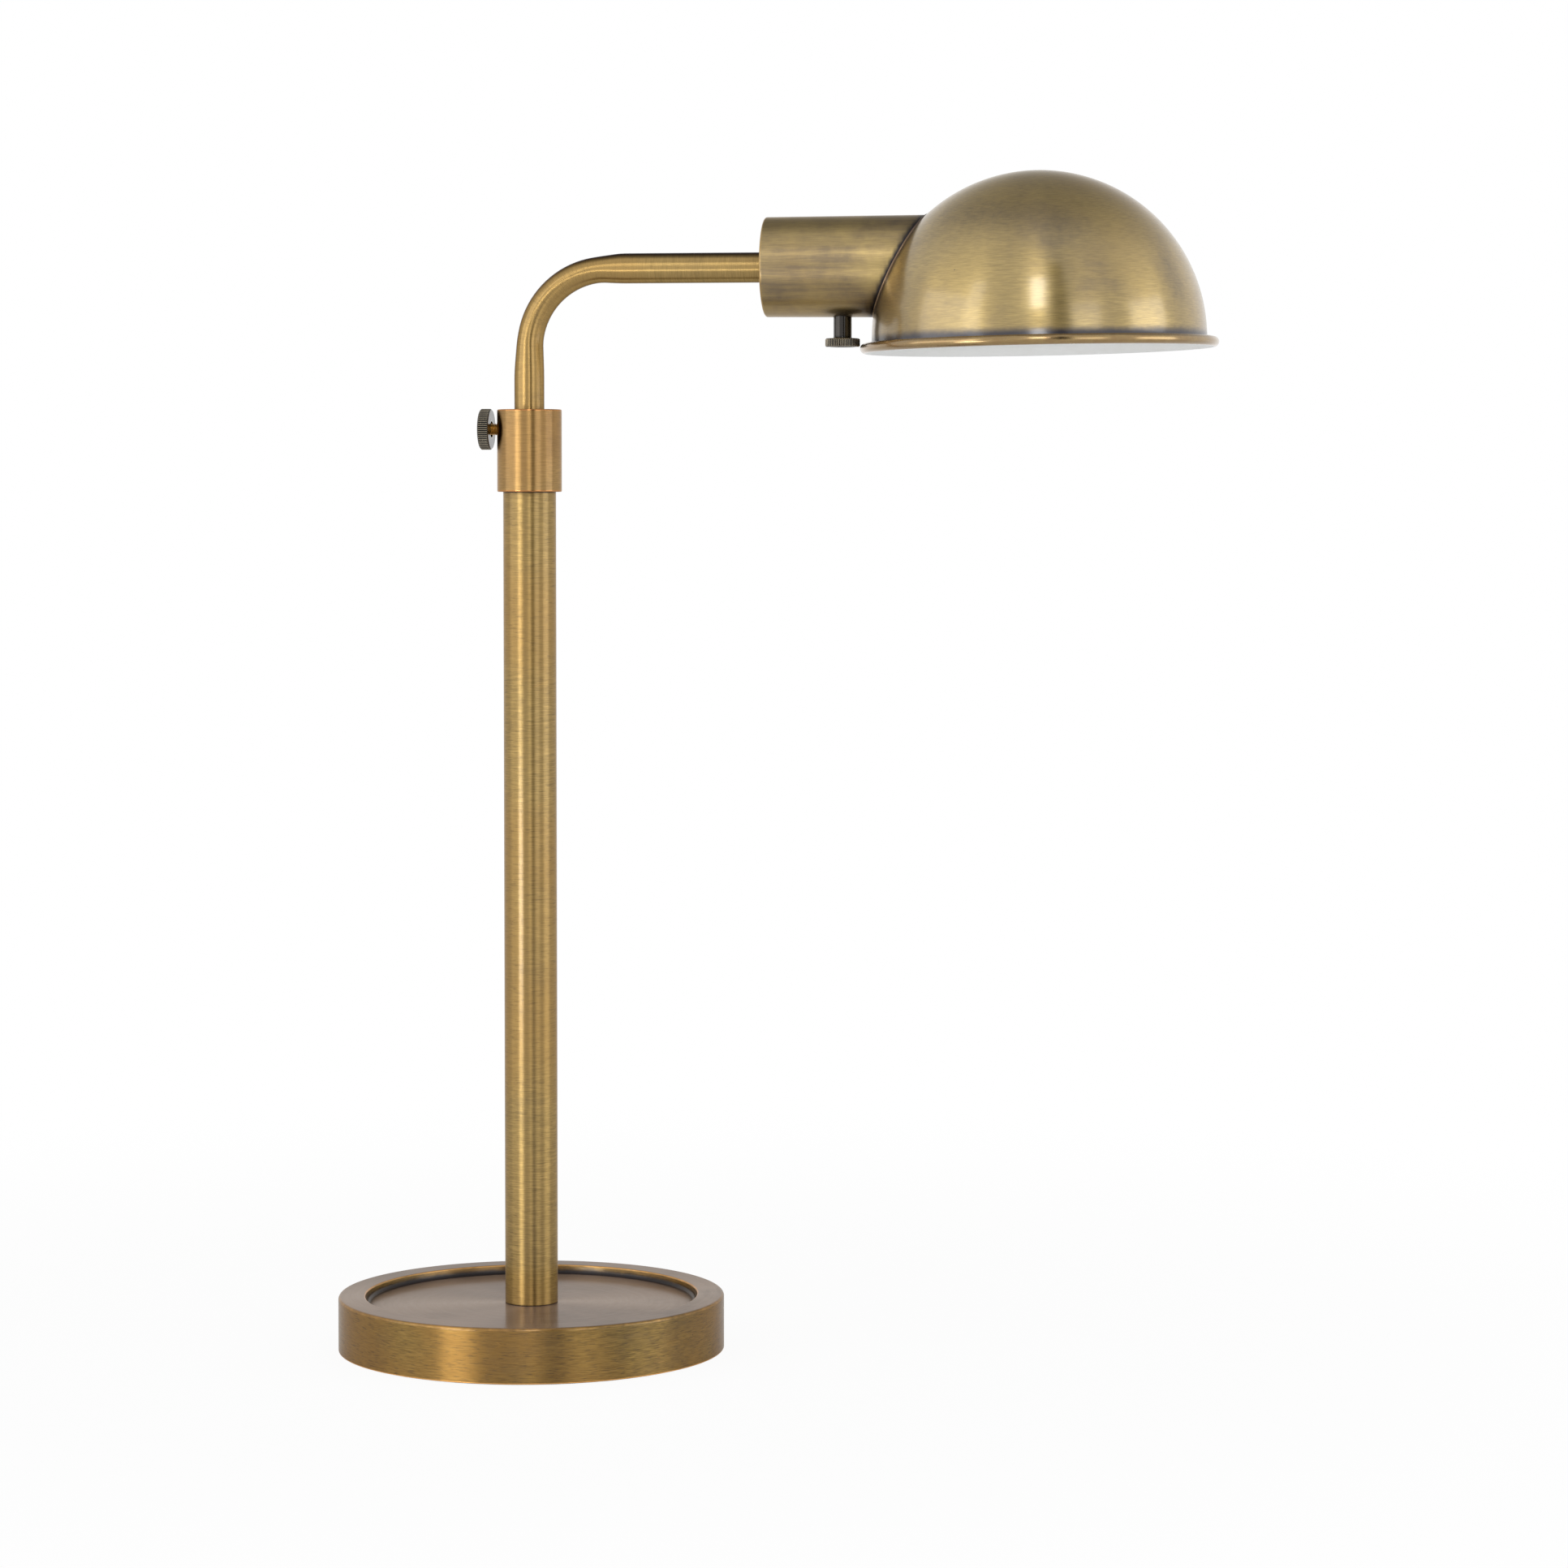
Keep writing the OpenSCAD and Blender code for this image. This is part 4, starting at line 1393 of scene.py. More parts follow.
@dataclass
class Base:
    """The weighted foot: its brass cover and the felt under it.

    Attributes:
        draft: How far the ring's inner wall leans.
        fuzz_waves: Number, shift and change per metre of height of each of its waves.
    """

    ring_width: float = 11.5 * MM
    edge: float = 1.3 * MM
    inner_edge: float = 0.7 * MM
    lip_edges: Pair = (0.25 * MM, 0.2 * MM)
    cove: float = 1.8 * MM
    draft: float = 0.6 * MM
    wall: float = 1.2 * MM
    bore: float = 5.3 * MM
    depth: float = 3.8 * MM
    inlet_radius: float = 4.5 * MM
    inlet_height: float = 9 * MM
    spacing: Pair = (0.25 * MM, 3.2 * MM)
    lay: Lay = Lay(wear=0.4 * MM, shade=1.8 * MM)
    felt_edges: Pair = (0.4 * MM, 0.5 * MM)
    felt_spacing: Pair = (0.4 * MM, 4 * MM)
    fuzz: float = 0.12 * MM
    fuzz_reach: float = 2 * MM
    fuzz_waves: tuple[Triple, ...] = ((23, 1.3, 0), (61, 0, 4000), (97, 0, 0))
    turns: int = 256
    felt_turns: int = 320

    def build(self, brass: Material, felt: Material) -> None:
        """Build the cover and the felt.

        Args:
            brass: Finish of the cover.
            felt: Finish of the felt.
        """
        self.cover(brass)
        self.felt_disc(felt)

    def cover(self, brass: Material) -> None:
        """Turn the cover with its raised ring, cove and sunk floor.

        Args:
            brass: Its finish.
        """
        low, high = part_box("base_shell")
        radius, top, lip = high.x, high.z, low.z
        ring = radius - self.ring_width
        floor = top - self.depth
        inside = radius - self.wall
        points = spaced(rounded([
            Corner(self.bore, floor), Corner(ring - self.draft, floor, self.cove),
            Corner(ring, top, self.inner_edge), Corner(radius, top, self.edge),
            Corner(radius, lip, self.lip_edges[0]), Corner(inside, lip, self.lip_edges[1]),
            Corner(inside, top - self.wall), Corner(ring + self.wall, top - self.wall),
            Corner(ring + self.wall, floor - self.wall), Corner(self.bore, floor - self.wall)]),
            *self.spacing)
        cover = turned("foot_cover", points, ALONG_Z, self.turns)
        way_in = Matrix.Translation((0, 0, self.inlet_height)) @ TO_THE_BACK
        cut_away(cover, rod(self.inlet_radius, 0, 2 * radius, way_in))
        self.lay.store(cover, points, ALONG_Z)
        dress(smooth(cover), Body.BASE, brass, slot=Slot.BRASS, instead_of="base_shell")

    def felt_disc(self, felt: Material) -> None:
        """Make the felt with a soft, slightly uneven rim.

        Args:
            felt: Its finish.
        """
        low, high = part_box("felt_pad")
        points = spaced(rounded([
            Corner(0, low.z), Corner(high.x, low.z, self.felt_edges[0]),
            Corner(high.x, high.z, self.felt_edges[1]), Corner(0, high.z)]), *self.felt_spacing)

        def fray(r: float, z: float, angle: float) -> float:
            """Let the rim's edge wander a little, in waves round it.

            Args:
                r: Radius of the place.
                z: Its height.
                angle: Its angle.

            Returns:
                The radius that it gets.
            """
            near = max(0.0, 1 - (high.x - r) / self.fuzz_reach)
            waves = [math.sin(angle * count + shift + z * climb)
                     for count, shift, climb in self.fuzz_waves]
            return r - near * self.fuzz * (1 + sum(waves) / len(waves))
        disc = turned("foot_felt", points, ALONG_Z, self.felt_turns, fray)
        dress(smooth(disc, sharp_over=60), Body.BASE, felt, slot=Slot.FELT, instead_of="felt_pad")


@dataclass
class Stem:
    """The upright tube and the collar on its top.

    Attributes:
        collar_seat: Height in the collar at which the stem's bore ends.
        screw_drop: Height of the collar's top over the screw.
        shading_reach: Height over which the painted shade at the tube's ends fades: contact shadow at the
            foot, shade under the collar.
    """

    wall: float = 1.2 * MM
    lip: float = 0.25 * MM
    spacing: Pair = (0.3 * MM, 9 * MM)
    lay: Lay = Lay(wear=0.3 * MM)
    collar_lip: float = 0.45 * MM
    collar_inner_lip: float = 0.2 * MM
    collar_seat: float = 15 * MM
    collar_spacing: Pair = (0.25 * MM, 2.5 * MM)
    collar_lay: Lay = Lay()
    arm_bore: float = 6.43 * MM
    screw_drop: float = 8.4 * MM
    screw_bore: float = 2.55 * MM
    screw_start: float = 4 * MM
    shading_reach: float = 0.5 * MM
    shading_share: float = 0.7
    turns: int = 128
    collar_turns: int = 160

    def build(self, tube_brass: Material, collar_brass: Material) -> None:
        """Build the tube and the collar.

        Args:
            tube_brass: Finish of the tube.
            collar_brass: Finish of the collar.
        """
        low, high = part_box("stem_tube")
        radius = high.x
        inside = radius - self.wall
        collar_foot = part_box("stem_collar")[0].z
        points = spaced(rounded([
            Corner(inside, low.z), Corner(radius, low.z, self.lip),
            Corner(radius, collar_foot - self.shading_reach), Corner(radius, collar_foot),
            Corner(radius, high.z, self.lip), Corner(inside, high.z)], steps=3), *self.spacing)
        tube = turned("stem", points, ALONG_Z, self.turns)
        self.lay.store(tube, points, ALONG_Z)
        self.shade_ends(tube, low.z, collar_foot)
        dress(smooth(tube), Body.BASE, tube_brass, slot=Slot.BRASS, instead_of="stem_tube")
        self.collar(radius, collar_brass)

    def shade_ends(self, tube: Piece, foot: float, collar_foot: float) -> None:
        """Store painted shade where the tube stands on the base and where it enters the collar.

        Args:
            tube: The tube.
            foot: Height of its foot.
            collar_foot: Height of the collar's lower edge.
        """
        rub, dark = tube.data.attributes["rub"].data, tube.data.attributes["dark"].data
        # Painted contact shadow at the foot and painted shade under the collar.
        for vertex in tube.data.vertices:
            gap = min(vertex.co.z - foot, abs(vertex.co.z - collar_foot))
            if gap < 3 * self.shading_reach:
                rub[vertex.index].value = 0
                dark[vertex.index].value = self.shading_share * math.exp(-(gap / self.shading_reach) ** 2)

    def collar(self, stem_radius: float, brass: Material) -> None:
        """Turn the collar, bored for the arm above and the stem below.

        Args:
            stem_radius: Radius of the stem that it sits on.
            brass: Its finish.
        """
        low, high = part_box("stem_collar")
        radius, seat = high.x, low.z + self.collar_seat
        points = spaced(rounded([
            Corner(stem_radius, low.z), Corner(radius, low.z, self.collar_lip),
            Corner(radius, high.z, self.collar_lip),
            Corner(self.arm_bore, high.z, self.collar_inner_lip),
            Corner(self.arm_bore, seat), Corner(stem_radius, seat)]), *self.collar_spacing)
        collar = turned("collar", points, ALONG_Z, self.collar_turns)
        way_in = Matrix.Translation((0, 0, high.z - self.screw_drop)) @ TO_THE_LEFT
        cut_away(collar, rod(self.screw_bore, self.screw_start, 2 * radius, way_in))
        self.collar_lay.store(collar, points, ALONG_Z)
        dress(smooth(collar), Body.BASE, brass, slot=Slot.BRASS, instead_of="stem_collar")


@dataclass
class ThumbScrew:
    """The knurled clamp screw with its cut thread.

    Attributes:
        rim: Distances of the dish's upper and lower edge from the crests.
        flank: How steep the thread's flanks are, and how wide its crest is.
        tip: Radius of the thread's blunt tip, as a share of its root's.
    """

    knurl: Knurl = Knurl()
    head_thickness: float = 4.7 * MM
    thread_radius: float = 2.5 * MM
    pitch: float = 0.8 * MM
    thread_depth: float = 0.48 * MM
    shoulder: float = 0.9 * MM
    undercut: float = 1.1 * MM
    rim: Pair = (1.7 * MM, 2.2 * MM)
    dish: float = 0.35 * MM
    edge: float = 0.1 * MM
    dish_edge: float = 0.3 * MM
    shoulder_edge: float = 0.2 * MM
    spacing: Pair = (0.3 * MM, 1.2 * MM)
    flank: Pair = (1.5, 1.25)
    tip: float = 0.8
    pitch_steps: int = 8
    thread_turns: int = 64
    thread_lay: Lay = Lay(wear=0.1 * MM, shade=0.1 * MM)

    def build(self, bronze: Material, brass: Material) -> None:
        """Build the head and the threaded shank.

        Args:
            bronze: Finish of the head.
            brass: Finish of the thread.
        """
        low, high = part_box("thumb_screw")
        placing = Matrix.Translation((0, 0, (low.z + high.z) / 2)) @ TO_THE_LEFT
        outer, tip = -low.x, -high.x
        inner = outer - self.head_thickness
        radius = (high.z - low.z) / 2
        chamfer, shoulder = self.knurl.chamfer, self.thread_radius + self.shoulder
        points = spaced(rounded([
            Corner(0, inner + self.undercut), Corner(shoulder, inner + self.undercut),
            Corner(shoulder, inner, self.shoulder_edge), Corner(radius - chamfer, inner, self.edge),
            Corner(radius, inner + chamfer, self.edge), Corner(radius, outer - chamfer, self.edge),
            Corner(radius - chamfer, outer, self.edge),
            Corner(radius - self.rim[0], outer, self.dish_edge),
            Corner(radius - self.rim[1], outer - self.dish, self.dish_edge),
            Corner(0, outer - self.dish)], steps=3), *self.spacing)
        head = self.knurl.head("clamp_screw_head", points, placing, radius)
        dress(head, Body.SCREW, bronze, slot=Slot.BRONZE, instead_of="thumb_screw")
        shank = self.shank(placing, tip, inner + self.undercut)
        dress(smooth(shank, sharp_over=50), Body.SCREW, brass, slot=Slot.BRASS)

    def shank(self, placing: Matrix, start: float, end: float) -> Piece:
        """Wind the thread as one helix round the shank.

        Args:
            placing: Where its axis lies.
            start: Place of its tip.
            end: Where it enters the head.

        Returns:
            The shank.
        """
        root = self.thread_radius - self.thread_depth
        slope, crest = self.flank

        def helix(r: float, z: float, angle: float) -> float:
            """Raise a rounded ridge that climbs one pitch a turn.

            Args:
                r: Radius of the place.
                z: Its height.
                angle: Its angle.

            Returns:
                The radius that it gets.
            """
            if r < root:
                return r
            ends = min(1.0, (z - start) / self.pitch, (end - z) / self.pitch)
            wave = abs(((z / self.pitch) - angle / (2 * math.pi)) % 1 - 0.5) * 2
            return root + self.thread_depth * held(crest - slope * wave) * max(0.0, ends)
        steps = round((end - start) / (self.pitch / self.pitch_steps))
        side = [(self.thread_radius, start + (end - start) * i / steps) for i in range(steps + 1)]
        points = [(0, start), (root * self.tip, start), *side, (0, end)]
        shank = turned("clamp_screw_thread", points, placing, self.thread_turns, helix)
        self.thread_lay.store(shank, points, placing)
        return shank


@dataclass
class Arm:
    """The bent tube, drawn in a little where it was bent.

    Attributes:
        darkening_from: Cosine of the angle from the outer side at which the painted dark reflection
            starts.
        leg_darkening: Share of that painted dark reflection on the leg.
        end_rub: Length of the rubbed ends.
    """

    wall: float = 1.0 * MM
    bend: float = 33.5 * MM
    lead_in: float = 13 * MM
    rise_in: float = 20 * MM
    lead_out: float = 8 * MM
    rise_out: float = 13 * MM
    outer_draw: float = 1.2 * MM
    inner_draw: float = 0.45 * MM
    # Strength of the painted dark reflection along the tube's outer side.
    darkening: float = 0.75
    darkening_from: float = 0.5
    leg_darkening: float = 0.4
    end_rub: float = 0.8 * MM
    turns: int = 96
    step: float = 2.2 * MM

    def build(self, brass: Material) -> None:
        """Sweep the tube's outside and bore along its bent line.

        Args:
            brass: Its finish.
        """
        low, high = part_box("arm_tube")
        radius = -low.x
        level = high.z - radius
        stations = self.stations(low.z, high.x, level)
        form = bmesh.new()
        rings, ways = [], []
        for skin, line in ((radius, stations), (radius - self.wall, stations[::-1])):
            for centre, out, way, draw in line:
                ring = []
                for a in full_turn(self.turns):
                    push = skin * math.cos(a)
                    push -= draw * math.cos(a) * (self.outer_draw if push > 0 else self.inner_draw)
                    ring.append(form.verts.new(centre + out * push + Vector((0, skin * math.sin(a), 0))))
                rings.append(ring)
                ways.append(way)
        bridge(form, rings)
        tube = new_piece("bent_arm", form)
        way = np.repeat(ways, self.turns)
        angles = np.tile([a if a <= math.pi else a - 2 * math.pi for a in full_turn(self.turns)],
                         len(ways))
        rub = np.clip(1 - np.minimum(way, way.max() - way) / self.end_rub, 0, 1)
        # The outer side is darkened: a painted reflection of dark surroundings, strongest past the bend.
        outward = np.clip((np.cos(angles) - self.darkening_from) / (1 - self.darkening_from), 0, 1)
        past = np.clip((way - (level - self.bend - low.z)) / (self.bend * math.pi / 2), 0, 1)
        darkening_share = self.darkening * outward * (self.leg_darkening + (1 - self.leg_darkening) * past)
        store_lay(tube, radius, angles, way, rub, darkening_share)
        dress(smooth(tube), Body.ARM, brass, slot=Slot.BRASS, instead_of="arm_tube")

    def stations(self, foot: float, reach: float,
                 level: float) -> list[tuple[Vector, Vector, float, float]]:
        """Place the tube's rings: up the leg, round the bend and along the arm.

        Args:
            foot: Height of the tube's lower end.
            reach: Place of its far end.
            level: Height of the level stretch.

        Returns:
            For each ring its centre, the direction away from the bend's centre, the way along the
            tube and how far it is drawn in, 0 to 1.
        """
        leg, quarter = level - self.bend - foot, self.bend * math.pi / 2
        total = leg + quarter + reach - self.bend
        start, stop = leg - self.lead_in, leg + quarter + self.lead_out
        count = math.ceil(total / self.step)
        line = []
        for i in range(count + 1):
            way = total * i / count
            turn = min(max((way - leg) / self.bend, 0.0), math.pi / 2)
            out = Vector((-math.cos(turn), 0, math.sin(turn)))
            centre = Vector((self.bend, 0, level - self.bend)) + out * self.bend
            centre += Vector((0, 0, min(0.0, way - leg))) + Vector((max(0.0, way - leg - quarter), 0, 0))
            drawn = ease((way - start) / self.rise_in) * ease((stop - way) / self.rise_out)
            line.append((centre, out, way, drawn))
        return line


@dataclass(frozen=True)
class Smudge:
    """A patch of old tarnish on the dome.

    Attributes:
        around: Its middle, in degrees from the front toward the nose.
        up: Height of its middle, in degrees.
        wide: Its spread round the dome, in degrees.
        tall: Its spread up the dome, in degrees.
        strength: Its strength, 0 to 1.
    """

    around: float
    up: float
    wide: float
    tall: float
    strength: float

    def share(self, out: Vector) -> float:
        """Find the tarnish in one direction from the dome's centre.

        Args:
            out: The direction, of length 1.

        Returns:
            The share of tarnish.
        """
        up = math.degrees(math.asin(max(-1.0, min(1.0, out.z)))) - self.up
        around = (math.degrees(math.atan2(out.x, -out.y)) - self.around + 180) % 360 - 180
        along = around * math.cos(math.radians(self.up))
        return self.strength * math.exp(-(along / self.wide) ** 2 - (up / self.tall) ** 2)


@dataclass
class Head:
    """The lamp housing and the dome shade with its rolled rim.

    Attributes:
        crease: Places of the crease's points, as shares of the flare and of the bead's radius.
        roll: Angles in degrees at which the bead starts and ends.
        paint_angle: Angle in degrees on the bead at which the paint starts.
        rim_inset: How far the rim stays inside the solid's.
        seat: Gap between the housing and the fibre washer.
        far_shading: How many times farther the faint part of the painted shade along the seam reaches.
        centre: Centre of the dome.
        rim: Radius of the bead's middle line.
        level: Height of the housing's axis.
        back: Place of the housing's back.
    """

    shade_radius: float = 70 * MM
    shade_wall: float = 1 * MM
    bead_radius: float = 2.1 * MM
    bead_drop: float = 2.85 * MM
    flare: float = 0.8 * MM
    crease: tuple[Pair, ...] = ((0.1, 0.3), (0.5, 0.62))
    dome_end: float = 3
    dome_steps: int = 72
    roll: Pair = (152, -118)
    roll_steps: tuple[int, int] = (36, 4)
    paint_angle: float = -88
    nose_up: float = 1.1
    rim_inset: float = 0.06 * MM
    dome_lay: Lay = Lay(wear=1.0 * MM, shade=1.5 * MM)
    housing_wall: float = 1.1 * MM
    housing_edge: float = 1.0 * MM
    housing_inner_edge: float = 0.6 * MM
    housing_spacing: Pair = (0.3 * MM, 1.8 * MM)
    housing_lay: Lay = Lay(wear=0.4 * MM, shade=0.1 * MM)
    back_radius: float = 21 * MM
    taper: float = 0.5 * MM
    pivot_bore: float = 4.1 * MM
    neck_bore: float = 4.2 * MM
    switch_reach: float = 32.7 * MM
    seat: float = 0.01 * MM
    braze: float = 0.42 * MM
    seam_steps: int = 192
    seam_sides: int = 12
    # Painted shade along the seam, with some old wax: its reach, its strength and its faint parts.
    shading_reach: float = 1.2 * MM
    shading_share: float = 0.6
    far_shading: float = 4
    housing_shading: float = 0.34
    dome_shading: float = 0.06
    smudges: tuple[Smudge, ...] = (
        Smudge(-19, 45, 28, 13, 0.36), Smudge(19, 37, 14, 13, 0.22), Smudge(-38, 4, 11, 8, 0.2),
        Smudge(61, 20, 8, 14, 0.34), Smudge(105, 42, 24, 8, 0.34), Smudge(150, 24, 26, 9, 0.36),
        Smudge(-150, 40, 22, 10, 0.34), Smudge(-165, 10, 14, 8, 0.3))
    centre: Vector = field(init=False)
    rim: float = field(init=False)
    level: float = field(init=False)
    back: float = field(init=False)

    def build(self, dome_brass: Material, housing_brass: Material, enamel: Material,
              braze: Material) -> None:
        """Build the shade, the housing and the brazed seam between them.

        Args:
            dome_brass: Finish of the dome outside.
            housing_brass: Finish of the housing.
            enamel: Finish of the dome inside.
            braze: Finish of the seam.
        """
        shade_low, shade_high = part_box("shade_shell")
        housing_low, housing_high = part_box("socket_housing")
        half_width = (shade_high.y - shade_low.y) / 2
        self.centre = Vector((shade_high.x - half_width, 0, shade_high.z - self.shade_radius))
        self.rim = half_width - self.bead_radius - self.rim_inset
        self.level = (housing_low.z + housing_high.z) / 2
        self.back = housing_low.x
        self.build_housing(housing_brass)
        self.build_dome(dome_brass, enamel)
        self.build_seam(braze)

    def housing_radius(self, x: float) -> float:
        """Give the housing's outer radius at a place along it."""
        front = self.centre.x - math.sqrt(self.shade_radius ** 2 - (self.level - self.centre.z) ** 2)
        return self.back_radius + self.taper * min(1.0, (x - self.back) / (front - self.back))

    def build_housing(self, brass: Material) -> None:
        """Turn the housing, cope it to the dome and bore it for the switch.

        Args:
            brass: Its finish.
        """
        # The outline ends well inside the dome, where the ball cuts it off.
        far = self.centre.x - self.back - 0.5 * self.shade_radius
        front, wall = self.housing_radius(self.back + far), self.housing_wall
        points = spaced(rounded([
            Corner(self.pivot_bore, self.seat), Corner(self.back_radius, self.seat, self.housing_edge),
            Corner(front, far), Corner(front - wall, far),
            Corner(self.back_radius - wall, wall, self.housing_inner_edge),
            Corner(self.pivot_bore, wall)]), *self.housing_spacing)
        placing = Matrix.Translation((self.back, 0, self.level)) @ ALONG_X
        housing = turned("lamp_housing", points, placing)
        half_circle = arc((0, 0), self.shade_radius, -90, 90, 120)
        ball = turned("ball", [(corner.r, corner.z) for corner in half_circle],
                      Matrix.Translation(self.centre) @ ALONG_X)
        under = Matrix.Translation((self.back + self.switch_reach, 0, self.level - 1.5 * self.back_radius))
        cut_away(housing, ball, rod(self.neck_bore, 0, self.back_radius, under, turns=64))
        self.housing_lay.store(housing, points, placing)
        self.shade_the_seam(housing, self.housing_shading)
        dress(smooth(housing), Body.HEAD, brass, slot=Slot.BRASS, instead_of="socket_housing")

    def shade_the_seam(self, piece: Piece, far_share: float) -> None:
        """Store painted shade, with some old wax, on a piece where it comes near the seam.

        Args:
            piece: The housing or the dome.
            far_share: Strength of the faint wide part of it.
        """
        dark = piece.data.attributes["dark"].data
        for vertex in piece.data.vertices:
            place = vertex.co
            if place.z < self.centre.z or place.x > self.centre.x:
                continue
            across = math.hypot(place.y, place.z - self.level)
            gap = math.hypot((place - self.centre).length - self.shade_radius,
                             across - self.housing_radius(place.x))
            darkening = (self.shading_share * math.exp(-(gap / self.shading_reach) ** 2)
                   + far_share * math.exp(-(gap / (self.far_shading * self.shading_reach)) ** 2))
            dark[vertex.index].value = max(dark[vertex.index].value, darkening)

    def tarnish(self, dome: Piece) -> None:
        """Store the smudges on the dome's outside.

        Args:
            dome: The dome.
        """
        dark = dome.data.attributes["dark"].data
        outside = self.shade_radius - 0.3 * self.shade_wall
        for vertex in dome.data.vertices:
            out = vertex.co - self.centre
            if out.z > 0 and out.length > outside:
                share = sum(smudge.share(out.normalized()) for smudge in self.smudges)
                dark[vertex.index].value = max(dark[vertex.index].value, share)

    def dome_outline(self) -> tuple[list[Corner], int]:
        """Draw the dome: outside, crease, rolled bead and inside.

        Returns:
            The closed outline, from the top of the outside to the top of the inside, and the index
            of the point under the bead where the paint starts.
        """
        outer, bead, middle = self.shade_radius, self.bead_radius, (self.rim, -self.bead_drop)
        start, end = self.roll
        brass_steps, painted_steps = self.roll_steps
        metal = [*arc((0, 0), outer, 90, self.dome_end, self.dome_steps),
                 *[Corner(outer + out * self.flare, -down * bead) for out, down in self.crease],
                 *arc(middle, bead, start, self.paint_angle, brass_steps)]
        painted = [*arc(middle, bead, self.paint_angle, end, painted_steps)[1:],
                   *arc((0, 0), outer - self.shade_wall, 0, 90, self.dome_steps)]
        return [*metal, *painted], len(metal) - 1

    def build_dome(self, brass: Material, enamel: Material) -> None:
        """Turn the dome, open it to the housing and paint its inside.

        Args:
            brass: Finish of the outside.
            enamel: Finish of the inside.
        """
        corners, first_painted = self.dome_outline()
        points = rounded(corners)
        tilt = Matrix.Rotation(math.radians(-self.nose_up), 4, "Y")
        placing = Matrix.Translation(self.centre) @ tilt
        dome = turned("dome_shade", points, placing, turns=288)
        mouth = rod(self.back_radius - self.housing_wall, self.centre.x - self.shade_radius,
                    self.centre.x, Matrix.Translation((0, 0, self.level)) @ ALONG_X, turns=128)
        cut_away(dome, mouth)
        self.dome_lay.store(dome, points, placing)
        self.shade_the_seam(dome, self.dome_shading)
        self.tarnish(dome)
        lay = dome.data.attributes["lay"].data
        paint_line = self.dome_lay.edges(np.array(points))[0][first_painted]
        for face in dome.data.polygons:
            way = sum(lay[i].vector.z for i in face.vertices) / len(face.vertices)
            face.material_index = int(way > paint_line)
        dress(smooth(dome, sharp_over=50), Body.HEAD, brass, enamel, slot=Slot.BRASS,
              instead_of="shade_shell")

    def build_seam(self, finish: Material) -> None:
        """Lay the brazed fillet along the line where the housing meets the dome.

        Args:
            finish: Its finish.
        """
        radius = self.housing_radius(self.centre.x)
        centres = []
        for a in full_turn(self.seam_steps):
            y, z = radius * math.sin(a), self.level + radius * math.cos(a)
            x = self.centre.x - math.sqrt(self.shade_radius ** 2 - y ** 2 - (z - self.centre.z) ** 2)
            centres.append(Vector((x, y, z)))
        form = bmesh.new()
        rings = []
        for i, centre in enumerate(centres):
            along = (centres[(i + 1) % len(centres)] - centres[i - 1]).normalized()
            out = (centre - self.centre).normalized()
            aside = along.cross(out).normalized()
            spokes = [out * math.cos(a) + aside * math.sin(a) for a in full_turn(self.seam_sides)]
            rings.append([form.verts.new(centre + self.braze * spoke) for spoke in spokes])
        bridge(form, rings)
        seam = new_piece("brazed_seam", form)
        dress(smooth(seam), Body.HEAD, finish, slot=Slot.BRASS)


@dataclass
class Bulb:
    """The round bulb's frosted glass.

    Attributes:
        slope: Angle in degrees between the axis and the cone from the neck to the globe.
    """

    wall: float = 0.8 * MM
    globe: float = 30 * MM
    neck: float = 11.9 * MM
    slope: float = 22
    neck_steps: int = 4
    cone_steps: int = 12
    globe_steps: int = 48

    def line(self, inset: float, end: float) -> list[Pair]:
        """Draw the glass from its neck to the top of the globe.

        Args:
            inset: How far inside the outer face the line lies.
            end: Distance of the globe's far end from the neck's.

        Returns:
            The points of the line.
        """
        radius, centre, neck = self.globe - inset, end - self.globe, self.neck - inset
        first = math.radians(90 + self.slope)
        wide, high = radius * math.sin(first), centre + radius * math.cos(first)
        start = high - (wide - neck) / math.tan(math.radians(self.slope))
        straight = [(neck, start * k / self.neck_steps) for k in range(self.neck_steps)]
        cone = [(neck + (wide - neck) * k / self.cone_steps, start + (high - start) * k / self.cone_steps)
                for k in range(self.cone_steps)]
        turns = [first * (1 - k / self.globe_steps) for k in range(self.globe_steps)]
        globe = [(radius * math.sin(a), centre + radius * math.cos(a)) for a in turns]
        return [*straight, *cone, *globe, (0, centre + radius)]

    def build(self, glass: Material) -> None:
        """Blow the glass with its true wall.

        Args:
            glass: Its finish.
        """
        low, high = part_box("bulb_glass")
        outer, inner = self.line(0, high.x - low.x), self.line(self.wall, high.x - low.x)
        placing = Matrix.Translation((low.x, 0, (low.z + high.z) / 2)) @ ALONG_X
        bulb = turned("bulb", [*outer, *inner[::-1]], placing, turns=128)
        dress(smooth(bulb, sharp_over=50), Body.HEAD, glass, slot=Slot.GLASS,
              instead_of="bulb_glass")


